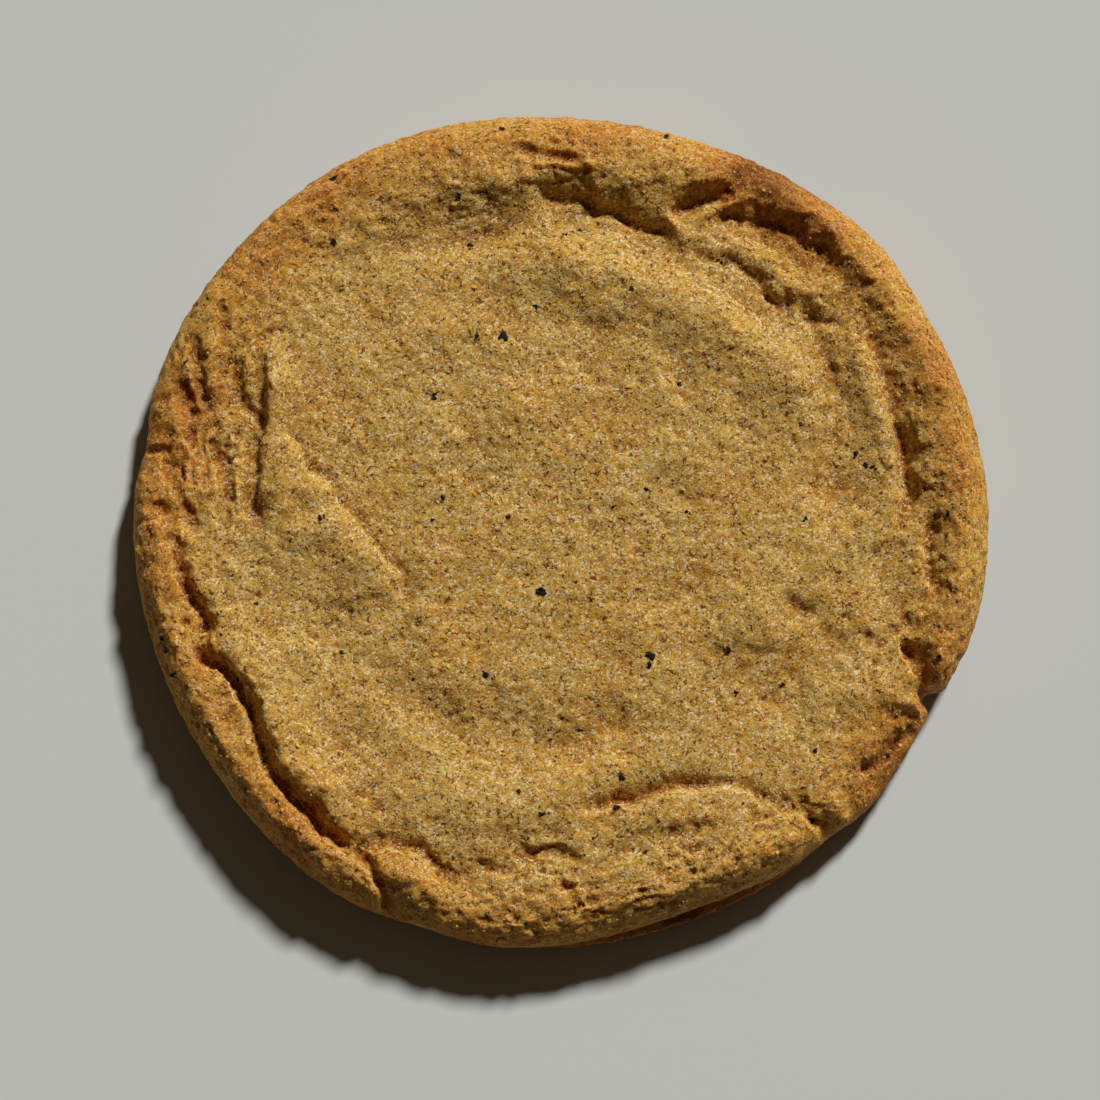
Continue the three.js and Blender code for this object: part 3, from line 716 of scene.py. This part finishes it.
def crack_heights(points):
    degrees, distance = polar(points)
    arc = np.radians(degrees) * COOKIE_RADIUS * CRACK_RING
    heights = np.zeros(len(points))
    for i, depth in enumerate(crack_depths(points)):
        across = distance[i] / CRACK_SPACING
        value = noise.noise((across, arc[i] / CRACK_LENGTH, 0))
        x, y = points[i, :2] / CRACK_PATCH
        patch = PATCH_SHARE + PATCH_CONTRAST * noise.noise((x, y, PATCH_LAYER))
        sharp = max(0, 1 - abs(value) / CRACK_WIDTH)
        heights[i] = -depth * sharp * min(1, max(0, patch))
    return heights


def crack_top(piece):
    points = points_mm(piece)
    push(piece, crack_heights(points) * facing_up(points), "NORMAL")


crack_top(cookie)

# %% Pits
PITS = [
    (271.1, 40.9, 0.8), (274.3, 42.5, 1.1), (262.6, 43, 0.8), (264.3, 41.6, 0.7), (262.9, 44.6, 1),
    (261.8, 45.7, 0.8), (265.9, 45.7, 1.2), (274.7, 44.7, 0.7), (258.7, 45.1, 0.7), (290.6, 41.7, 0.8),
    (174.5, 41.4, 0.8), (174.1, 39.6, 0.7), (166.6, 37.5, 0.7), (164.9, 38.2, 0.5), (160.5, 41.3, 0.6),
    (101.7, 37.9, 0.9), (102, 41.1, 0.6), (107.9, 40.8, 0.5), (120.2, 41.8, 0.8), (13.4, 41.9, 0.9),
    (11.3, 45.4, 0.7), (8.7, 46.7, 0.6), (18.5, 46, 0.6), (341, 37.3, 0.8), (49.4, 36.5, 0.7),
    (340.9, 45.6, 0.6), (345.3, 46.1, 0.9), (91.5, 45.7, 0.8),
]
PIT_COUNT = 200
PIT_SIZES = (0.35, 0.7)
PIT_DEPTH = 0.5
PIT_MARGIN = 2
CLUMP_ZONE = 0.45


def anywhere(chance, widest):
    return place(chance.uniform(0, 360), widest * math.sqrt(chance.random()))


def all_pits(seed):
    chance = random.Random(seed)
    pits = [(*place(degrees, distance), reach) for degrees, distance, reach in PITS]
    for _ in range(PIT_COUNT):
        x, y = anywhere(chance, COOKIE_RADIUS - PIT_MARGIN)
        pits.append((x, y, chance.uniform(*PIT_SIZES)))
    return pits


def pit_heights(points):
    heights = np.zeros(len(points))
    for x, y, reach in all_pits("pits"):
        near = np.flatnonzero(np.abs(points[:, 0] - x) < reach)
        away = np.hypot(points[near, 0] - x, points[near, 1] - y)
        heights[near] -= PIT_DEPTH * reach * smooth(1 - away / reach)
    return heights


def pit_top(piece):
    points = points_mm(piece)
    push(piece, pit_heights(on_plan(points)) * facing_up(points), "Z")


pit_top(cookie)

# %% Clumps and fine grain
def clumped(points):
    zones = (crack_depths(points) - EVERYWHERE_CRACKS) / CLUMP_ZONE
    return above_base(points) * np.clip(zones, 0, 1)


roughen(cookie, lumps(2.2, 2), 0.9, "NORMAL", crumbly)
roughen(cookie, lumps(1.5, 2), 0.35, "NORMAL", clumped)
roughen(cookie, clouds(1.1, 2), 0.26, "NORMAL", crumbly)
roughen(cookie, clouds(0.6), 0.16, "NORMAL", crumbly)
select_only(cookie)
bpy.ops.object.shade_smooth()

# %% [markdown]
# ## Painting the browning and the painted shade
# Three values are painted on the points for the material to read. `browning` says how far
# the crust has baked: pale in the middle, golden on the rim, brown on the side and base.
# `crease` and `crumb` say how far a point lies below its surroundings, widely and closely;
# the material darkens these hollows with them as painted shade. Both come from comparing
# each point's height with the average of its neighbours.

# %% Paint the values
CREASE_ROUNDS = 90
CRUMB_ROUNDS = 3
CREASE_FULL = 0.9
CRUMB_FULL = 0.16
MIDDLE_BROWNING = 0.12
# amount, mm where it starts (out or up), mm over which it comes in
RIM_BROWNING = (0.4, 38, 10)
SIDE_BROWNING = (0.3, 7.5, 5)
BASE_BROWNING = (0.2, 2.5, 2)
TINTS = [
    (333, 29.6, 6, 0.05), (168, 43, 13, 0.1), (57, 37, 8, -0.25), (88, 45, 9, 0.12), (58, 47, 14, 0.4),
    (325, 45, 8, 0.3), (345, 33, 5, 0.2), (20, 48, 12, 0.15), (8, 42, 7, -0.05), (130, 20, 16, -0.08),
    (200, 30, 10, -0.05), (268, 43, 14, -0.08),
]


def paint_value(piece, name, values):
    shares = np.clip(values, 0, 1)
    attribute = piece.data.attributes.new(name, "FLOAT", "POINT")
    attribute.data.foreach_set("value", shares.astype(np.float32))
    print(name, "averages", round(float(shares.mean()), 2))


def average_neighbours(piece, values, rounds):
    ends = np.empty(len(piece.data.edges) * 2, np.int32)
    piece.data.edges.foreach_get("vertices", ends)
    here, there = np.concatenate([ends.reshape(-1, 2), ends.reshape(-1, 2)[:, ::-1]]).T
    count = np.bincount(here, minlength=len(values))
    for _ in range(rounds):
        values = np.bincount(here, weights=values[there], minlength=len(values)) / count
    return values


def browning_values(points):
    amount, inside, blend = RIM_BROWNING
    rim = amount * smooth((polar(points)[1] - inside) / blend)
    low = np.zeros(len(points))
    for amount, top, blend in (SIDE_BROWNING, BASE_BROWNING):
        low += amount * smooth((top - points[:, 2]) / blend)
    values = MIDDLE_BROWNING + rim + low
    add_spots(values, points, TINTS)
    return values


def paint_crust(piece):
    points = points_mm(piece)
    heights = points[:, 2]
    widely = average_neighbours(piece, heights, CREASE_ROUNDS)
    closely = average_neighbours(piece, heights, CRUMB_ROUNDS)
    paint_value(piece, "browning", browning_values(points))
    # crease: how deep a point sits in a wide hollow, used for painted shade in seams, trenches and
    # creases.
    paint_value(piece, "crease", (widely - heights) / CREASE_FULL)
    # crumb: how deep a point sits in a small hollow, used for painted shade between crumb lumps.
    paint_value(piece, "crumb", 0.5 + (closely - heights) / CRUMB_FULL / 2)


paint_crust(cookie)

# %% [markdown]
# ## Spending faces where the shape is
# The remesh spent as many faces on the flat base as on the seams. Decimate collapses the
# edges that carry the least shape first, so the crumb keeps its detail and the flat parts
# give theirs up. The painted values are carried along.

# %% Fewer faces
MOST_TRIANGLES = 196000


def thin_out(piece, most):
    triangles = sum(len(face.vertices) - 2 for face in piece.data.polygons)
    decimate = piece.modifiers.new("thin", "DECIMATE")
    decimate.ratio = most / triangles
    apply_modifier(piece, decimate)
    print("thinned from", triangles, "to", len(piece.data.polygons), "triangles")


thin_out(cookie, MOST_TRIANGLES)

# %% [markdown]
# ## The crust's material
# One Principled shader. Its colour walks from pale crumb to dark brown with `browning`,
# then creases, low crumb and pores are darkened as painted shade, some grains are darkened,
# and sugar and golden grains are mixed in. Colours are linear values. Fine grain, below what
# the mesh can hold, is a bump. Noise sizes are in millimetres, turned into a texture scale by the
# helpers.

# %% Helpers for node trees
def set_inputs(node, **inputs):
    for name, value in inputs.items():
        node.inputs[name.replace("_", " ")].default_value = value
    return node


def add_node(tree, kind, **inputs):
    return set_inputs(tree.nodes.new(kind), **inputs)


def new_material(name):
    material = bpy.data.materials.new(name)
    material.use_nodes = True
    tree = material.node_tree
    tree.nodes.new("ShaderNodeTexCoord")
    return material, tree, tree.nodes["Principled BSDF"]


def noise_node(tree, size, detail=2.0, distortion=0.0):
    node = add_node(tree, "ShaderNodeTexNoise", Scale=1 / (size * MM), Detail=detail,
                    Distortion=distortion)
    tree.links.new(tree.nodes["Texture Coordinate"].outputs["Object"], node.inputs["Vector"])
    return node.outputs["Fac"]


def value_node(tree, operation, first, second=0.0, third=0.0):
    node = tree.nodes.new("ShaderNodeMath")
    node.operation = operation
    node.use_clamp = operation == "MULTIPLY_ADD"
    for socket, value in zip(node.inputs, (first, second, third)):
        if isinstance(value, (int, float)):
            socket.default_value = value
        else:
            tree.links.new(value, socket)
    return node.outputs["Value"]


def spread(tree, value, low, high):
    node = add_node(tree, "ShaderNodeMapRange", From_Min=low, From_Max=high)
    tree.links.new(value, node.inputs["Value"])
    return node.outputs["Result"]


def mix_node(tree, share, first, second, blend="MIX"):
    node = tree.nodes.new("ShaderNodeMix")
    node.data_type = "RGBA"
    node.blend_type = blend
    # This node also has sockets for numbers and vectors. These are the share and the colours.
    sockets = [node.inputs[0], node.inputs[6], node.inputs[7]]
    for socket, value in zip(sockets, (share, first, second)):
        if isinstance(value, (int, float)):
            socket.default_value = value
        elif isinstance(value, tuple):
            socket.default_value = (*value, 1)
        else:
            tree.links.new(value, socket)
    return node.outputs[2]


def painted(tree, name):
    node = tree.nodes.new("ShaderNodeAttribute")
    node.attribute_name = name
    return node.outputs["Fac"]


def cells(tree, size):
    """Three outputs for grains packed side by side: two chances and the way from the middle."""
    node = add_node(tree, "ShaderNodeTexVoronoi", Scale=1 / (size * MM))
    tree.links.new(tree.nodes["Texture Coordinate"].outputs["Object"], node.inputs["Vector"])
    split = tree.nodes.new("ShaderNodeSeparateColor")
    tree.links.new(node.outputs["Color"], split.inputs["Color"])
    return split.outputs["Red"], split.outputs["Green"], node.outputs["Distance"]


# %% The crust
STAGES = [
    (0.0, (0.61, 0.41, 0.104)),
    (0.35, (0.61, 0.345, 0.056)),
    (0.65, (0.52, 0.22, 0.022)),
    (1.0, (0.22, 0.07, 0.010)),
]
# Painted shade: multiplied into the colour along seams, trenches and creases.
CREASE_SHADE_COLOR = (0.72, 0.52, 0.2)
# Painted shade: multiplied into the colour in the small hollows of the crumb.
LOW_CRUMB_SHADE_COLOR = (0.78, 0.53, 0.20)
# Painted shade: the dark red-brown colour inside the pores.
PORE_SHADE_COLOR = (0.19, 0.05, 0.004)
DARK_GRAIN = (0.78, 0.60, 0.24)
SUGAR_COLOR = (0.88, 0.76, 0.52)
GOLD_COLOR = (0.62, 0.34, 0.02)
PATCH_SIZE = 9.0
BLOTCH_SIZE = 2.0
PORE_SIZE = 0.6
GRAIN_SIZE = 0.22
CLUMP_SIZE = 0.75
CRUST_ROUGHNESS = 0.72
CRUST_SHINE = 0.2
BUMP_HEIGHT = 0.06
GLOW_DEPTH = 1.0
GLOW_RADIUS = (1.0, 0.42, 0.14)
BLOTCH_SHARE = 0.35
UNEVEN_RANGE = (0.075, 1.275)
UNEVEN_MIDDLE = 0.5
LOW_RANGE = (0.55, 0.95)
LOW_SHARE = 0.9
DARK_RANGE = (0.35, 0.15)
SUGAR_RANGE = (0.72, 0.95)
SUGAR_FADE = -0.7
SUGAR_MOST = 0.75
GOLD_RANGE = (0.9, 0.95)
GOLD_SHARE = 0.6
PORE_RANGE = (0.61, 0.65)
PORE_SHARE = 0.95
PORE_TWIST = 1.2
FINE_DETAIL = 3.0
GRAIN_BUMP = 0.6
CLUMP_BUMP = 1.5
PORE_BUMP = 0.8


def share_of(tree, value, amount):
    return value_node(tree, "MULTIPLY", value, amount)


def crust_color(tree, chance, second_chance, pores):
    patches = noise_node(tree, PATCH_SIZE)
    blotches = noise_node(tree, BLOTCH_SIZE)
    uneven = value_node(tree, "ADD", patches, share_of(tree, blotches, BLOTCH_SHARE))
    baked = value_node(tree, "ADD", painted(tree, "browning"), spread(tree, uneven, *UNEVEN_RANGE))
    baked = value_node(tree, "SUBTRACT", baked, UNEVEN_MIDDLE)
    ramp = tree.nodes.new("ShaderNodeValToRGB")
    tree.links.new(baked, ramp.inputs["Fac"])
    while len(ramp.color_ramp.elements) < len(STAGES):
        ramp.color_ramp.elements.new(0.5)
    for stop, (position, color) in zip(ramp.color_ramp.elements, STAGES):
        stop.position = position
        stop.color = (*color, 1)
    # Painted shade in the wide hollows, from the painted crease value.
    color = mix_node(tree, painted(tree, "crease"), ramp.outputs["Color"], CREASE_SHADE_COLOR, "MULTIPLY")
    # Painted shade in the small hollows of the crumb, from the painted crumb value.
    crumb_hollow_shade = share_of(tree, spread(tree, painted(tree, "crumb"), *LOW_RANGE), LOW_SHARE)
    color = mix_node(tree, crumb_hollow_shade, color, LOW_CRUMB_SHADE_COLOR, "MULTIPLY")
    color = mix_node(tree, spread(tree, chance, *DARK_RANGE), color, DARK_GRAIN, "MULTIPLY")
    pale = value_node(tree, "MULTIPLY_ADD", painted(tree, "browning"), SUGAR_FADE, SUGAR_MOST)
    sugary = value_node(tree, "MULTIPLY", spread(tree, chance, *SUGAR_RANGE), pale)
    color = mix_node(tree, sugary, color, SUGAR_COLOR)
    golden = share_of(tree, spread(tree, second_chance, *GOLD_RANGE), GOLD_SHARE)
    color = mix_node(tree, golden, color, GOLD_COLOR)
    # Pores get a dark colour as painted shade in their holes.
    return mix_node(tree, share_of(tree, pores, PORE_SHARE), color, PORE_SHADE_COLOR)


def crust_finish():
    material, tree, shader = new_material("crust")
    chance, second_chance, from_middle = cells(tree, GRAIN_SIZE)
    # Pore mask: the bump presses the pores in, and their dark colour is painted shade.
    pores = spread(tree, noise_node(tree, PORE_SIZE, FINE_DETAIL, PORE_TWIST), *PORE_RANGE)
    color = crust_color(tree, chance, second_chance, pores)
    tree.links.new(color, shader.inputs["Base Color"])
    set_inputs(shader, Roughness=CRUST_ROUGHNESS, Specular_IOR_Level=CRUST_SHINE,
               Subsurface_Weight=1.0, Subsurface_Radius=GLOW_RADIUS, Subsurface_Scale=GLOW_DEPTH * MM)
    clumps = share_of(tree, noise_node(tree, CLUMP_SIZE, FINE_DETAIL), CLUMP_BUMP)
    surface = value_node(tree, "SUBTRACT", share_of(tree, chance, GRAIN_BUMP), from_middle)
    surface = value_node(tree, "ADD", surface, clumps)
    surface = value_node(tree, "SUBTRACT", surface, share_of(tree, pores, PORE_BUMP))
    bump = add_node(tree, "ShaderNodeBump", Strength=1.0, Distance=BUMP_HEIGHT * MM)
    tree.links.new(surface, bump.inputs["Height"])
    tree.links.new(bump.outputs["Normal"], shader.inputs["Normal"])
    return material


def dress(piece, material):
    piece.data.materials.clear()
    piece.data.materials.append(material)
    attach(piece, "root")


dress(cookie, crust_finish())
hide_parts("cookie")

# %% [markdown]
# ## Flecks and grits
# Dark flecks and yellow grains of corn meal lie in the crust. Each is a small angular
# lump: an ico sphere squashed, turned and roughened by chance. The largest flecks lie
# where they do on the real cookie, each broken into three shards, and the rest are
# scattered. A ray sent straight down finds the crust below each place, and the lump sits
# partly sunk in it. All of a kind are one mesh.

# %% Make the small lumps
LUMP_SINK = 0.25
LUMP_STRETCH = ((0.7, 1.3), (0.6, 1.1), (0.6, 1.0))
ABOVE_ALL = 40
MOTTLE_SIZE = 0.4
SPOT_MARGIN = 1.5


def surface_finder(piece):
    points = points_mm(piece)
    faces = [tuple(face.vertices) for face in piece.data.polygons]
    return BVHTree.FromPolygons([Vector(point) for point in points], faces)


finder = surface_finder(cookie)


def scatter(name, spots, flatness, material, seed, ragged=0.25):
    chance = random.Random(seed)
    select_only()
    bpy.ops.mesh.primitive_ico_sphere_add(subdivisions=1, radius=0.5)
    shape = bpy.context.active_object
    corners = points_mm(shape) * MM
    sides = [tuple(face.vertices) for face in shape.data.polygons]
    bpy.ops.object.delete()
    places, faces = [], []
    for x, y, size in spots:
        hit, normal, _, _ = finder.ray_cast(Vector((x, y, ABOVE_ALL)), Vector((0, 0, -1)))
        if hit is None:
            continue
        turn = Euler([chance.uniform(0, 2 * math.pi) for _ in range(3)]).to_matrix()
        stretch = Vector([chance.uniform(*limits) for limits in LUMP_STRETCH])
        upright = normal.to_track_quat("Z", "Y").to_matrix()
        start = len(places)
        for corner in corners:
            rough = Vector(corner) * chance.uniform(1 - ragged, 1 + ragged)
            lumpy = turn @ Vector([a * b for a, b in zip(rough, stretch)])
            lumpy.z *= flatness
            spot = hit + normal * size * flatness * LUMP_SINK + upright @ lumpy * size
            places.append(spot * MM)
        faces += [[start + corner for corner in side] for side in sides]
    piece = add_mesh(name, places, [], faces)
    bpy.ops.object.mode_set(mode="EDIT")
    bpy.ops.mesh.select_all(action="SELECT")
    bpy.ops.mesh.normals_make_consistent(inside=False)
    bpy.ops.object.mode_set(mode="OBJECT")
    dress(piece, material)
    print(name, "has", len(places) // len(corners), "lumps")


def plain_finish(name, color, roughness, darker, shine=0.3):
    material, tree, shader = new_material(name)
    shade = tuple(channel * darker for channel in color)
    mottled = mix_node(tree, noise_node(tree, MOTTLE_SIZE), shade, color)
    tree.links.new(mottled, shader.inputs["Base Color"])
    set_inputs(shader, Roughness=roughness, Specular_IOR_Level=shine)
    return material


def random_spots(count, sizes, seed, widest=COOKIE_RADIUS - SPOT_MARGIN):
    chance = random.Random(seed)
    spots = []
    for _ in range(count):
        x, y = anywhere(chance, widest)
        spots.append((x, y, chance.uniform(*sizes)))
    return spots


# %% Dark flecks
BLACK_FLECKS = [
    (10.0, -14.9, 1.5), (-2.7, -6.9, 1.3), (-7.1, 23.0, 1.1), (-10.2, 22.6, 0.8), (-3.2, 26.2, 0.7),
    (-14.9, 15.7, 0.8), (-10.9, 33.8, 0.9), (-12.2, 39.3, 0.6), (-27.0, 34.0, 0.9), (-27.0, 41.9, 0.9),
    (-7.2, 47.2, 0.8), (0.2, 35.0, 0.6), (1.8, 35.7, 0.5), (-41.7, 27.3, 0.6), (-44.2, 20.1, 0.6),
    (-35.6, 4.3, 0.7), (-27.8, 1.5, 0.9), (-14.1, 4.0, 0.7), (-15.2, 1.4, 0.5), (-6.4, 1.6, 0.6),
    (1.3, -5.9, 0.6), (3.1, -7.7, 0.6), (18.4, 31.9, 0.7), (8.2, 28.4, 0.7), (13.5, 17.1, 0.7),
    (27.6, 12.4, 0.6), (33.9, 9.0, 0.9), (35.2, 7.8, 0.7), (36.0, 7.5, 0.8), (9.7, 4.8, 0.8),
    (14.4, 2.2, 0.7), (28.0, 1.3, 0.7), (44.5, 1.9, 0.6), (11.9, 46.8, 0.7), (-46.6, -12.4, 0.8),
    (-46.2, -13.6, 1), (-44.8, -16.5, 0.9), (-37.6, -17.1, 0.6), (-9.1, -16.8, 1.1),
    (-17.3, -17.0, 0.5), (1.9, -22.6, 0.6), (-1.5, -24.0, 0.5), (-5.2, -30.1, 0.6), (-2.5, -32.1, 1),
    (-25.4, -14.0, 0.6), (18.8, -13.6, 0.9), (19.9, -18.7, 0.6), (6.7, -28.4, 0.8), (10.2, -28.7, 0.6),
    (6.1, -31.7, 0.9), (29.1, -25.3, 0.6), (28.4, -33.3, 0.9), (37.3, -25.6, 0.6), (9.3, -36.9, 0.5),
    (25.3, -17.8, 0.6), (-35.6, -8.3, 0.5), (-24.4, -9.1, 0.5), (43.2, -14.7, 0.6),
]


def true_place(spots):
    return [(x + TOP_CENTRE[0], y * FRONT_TO_BACK + TOP_CENTRE[1], size) for x, y, size in spots]


SHARDS = 3
SHARD_OFFSETS = (0.1, 0.5)
SHARD_SIZES = (0.4, 0.85)


def broken_up(spots, seed):
    chance = random.Random(seed)
    shards = []
    for x, y, size in spots:
        for _ in range(SHARDS):
            off_x, off_y = place(chance.uniform(0, 360), size * chance.uniform(*SHARD_OFFSETS))
            shards.append((x + off_x, y + off_y, size * chance.uniform(*SHARD_SIZES)))
    return shards


flecks = broken_up(true_place(BLACK_FLECKS), "shards")
flecks += random_spots(count=60, sizes=(0.15, 0.35), seed="flecks")
fleck_finish = plain_finish("dark_fleck", color=(0.020, 0.011, 0.010), roughness=0.6, darker=0.5,
                            shine=0.15)
scatter("dark_flecks", flecks, flatness=0.5, material=fleck_finish, seed="dark", ragged=0.55)

# %% Corn grits and pale crumbs
CRUMB_MARGIN = 0.5
grits = random_spots(count=260, sizes=(0.3, 0.8), seed="grits")
grit_finish = plain_finish("corn_grit", color=(0.72, 0.43, 0.05), roughness=0.5, darker=0.85)
scatter("corn_grits", grits, flatness=0.35, material=grit_finish, seed="corn")
crumbs = random_spots(count=6000, sizes=(0.2, 0.42), seed="crumbs", widest=COOKIE_RADIUS - CRUMB_MARGIN)
crumb_finish = plain_finish("crumb", color=(0.56, 0.34, 0.08), roughness=0.7, darker=0.85)
scatter("crumb_grains", crumbs, flatness=0.6, material=crumb_finish, seed="crumb")

# %% [markdown]
# ## Floor, light and camera
# The plain floor only carries the cookie's shadow. The light is one low key lamp from the
# back right, soft enough for the shadow's edge to blur, over a faint even fill. The camera
# looks down from the front, a little off the vertical.

# %% Floor
FLOOR_SIZE = 4.0
FLOOR_COLOR = (0.60, 0.615, 0.57)
FLOOR_ROUGHNESS = 0.7


def add_floor():
    select_only()
    bpy.ops.mesh.primitive_plane_add(size=FLOOR_SIZE, location=(0, 0, 0))
    floor = bpy.context.active_object
    floor.name = "floor"
    material, _, shader = new_material("floor")
    set_inputs(shader, Base_Color=(*FLOOR_COLOR, 1), Roughness=FLOOR_ROUGHNESS)
    floor.data.materials.append(material)


add_floor()

# %% Light
KEY_AZIMUTH = 61
KEY_ELEVATION = 41
KEY_STRENGTH = 3.55
KEY_SOFTNESS = 8
FILL_COLOR = (1.0, 0.76, 0.5)
FILL_STRENGTH = 0.042


def direction(azimuth, elevation):
    azimuth, elevation = math.radians(azimuth), math.radians(elevation)
    level = math.cos(elevation)
    return Vector((math.cos(azimuth) * level, math.sin(azimuth) * level, math.sin(elevation)))


def add_light():
    light = bpy.data.lights.new("key", "SUN")
    light.energy = KEY_STRENGTH
    light.angle = math.radians(KEY_SOFTNESS)
    lamp = bpy.data.objects.new("key", light)
    bpy.context.collection.objects.link(lamp)
    lamp.location = direction(KEY_AZIMUTH, KEY_ELEVATION)
    lamp.rotation_euler = lamp.location.to_track_quat("Z", "Y").to_euler()
    world = bpy.data.worlds.new("studio")
    world.use_nodes = True
    set_inputs(world.node_tree.nodes["Background"], Color=(*FILL_COLOR, 1), Strength=FILL_STRENGTH)
    bpy.context.scene.world = world
    bpy.context.scene.view_settings.view_transform = "Standard"


add_light()

# %% Camera
FRAME_WIDTH = 128.7
PICTURE_PIXELS = 1100
COOKIE_PIXEL = (563.5, 531)
CAMERA_ELEVATION = 81
LENS = 135
SENSOR = 36
NEAR_CLIP = 0.01
FAR_CLIP = 20


def add_camera():
    data = bpy.data.cameras.new("camera")
    data.lens = LENS
    data.sensor_width = SENSOR
    data.clip_start = NEAR_CLIP
    data.clip_end = FAR_CLIP
    camera = bpy.data.objects.new("camera", data)
    bpy.context.collection.objects.link(camera)
    back = direction(-90, CAMERA_ELEVATION)
    up = Vector((0, back.z, -back.y))
    pixel = FRAME_WIDTH * MM / PICTURE_PIXELS
    target = Vector((0, 0, WIDEST_HEIGHT * MM))
    target.x -= (COOKIE_PIXEL[0] - PICTURE_PIXELS / 2) * pixel
    target += up * (COOKIE_PIXEL[1] - PICTURE_PIXELS / 2) * pixel
    camera.location = target + back * FRAME_WIDTH * MM * LENS / SENSOR
    camera.rotation_euler = back.to_track_quat("Z", "Y").to_euler()
    bpy.context.scene.camera = camera


add_camera()
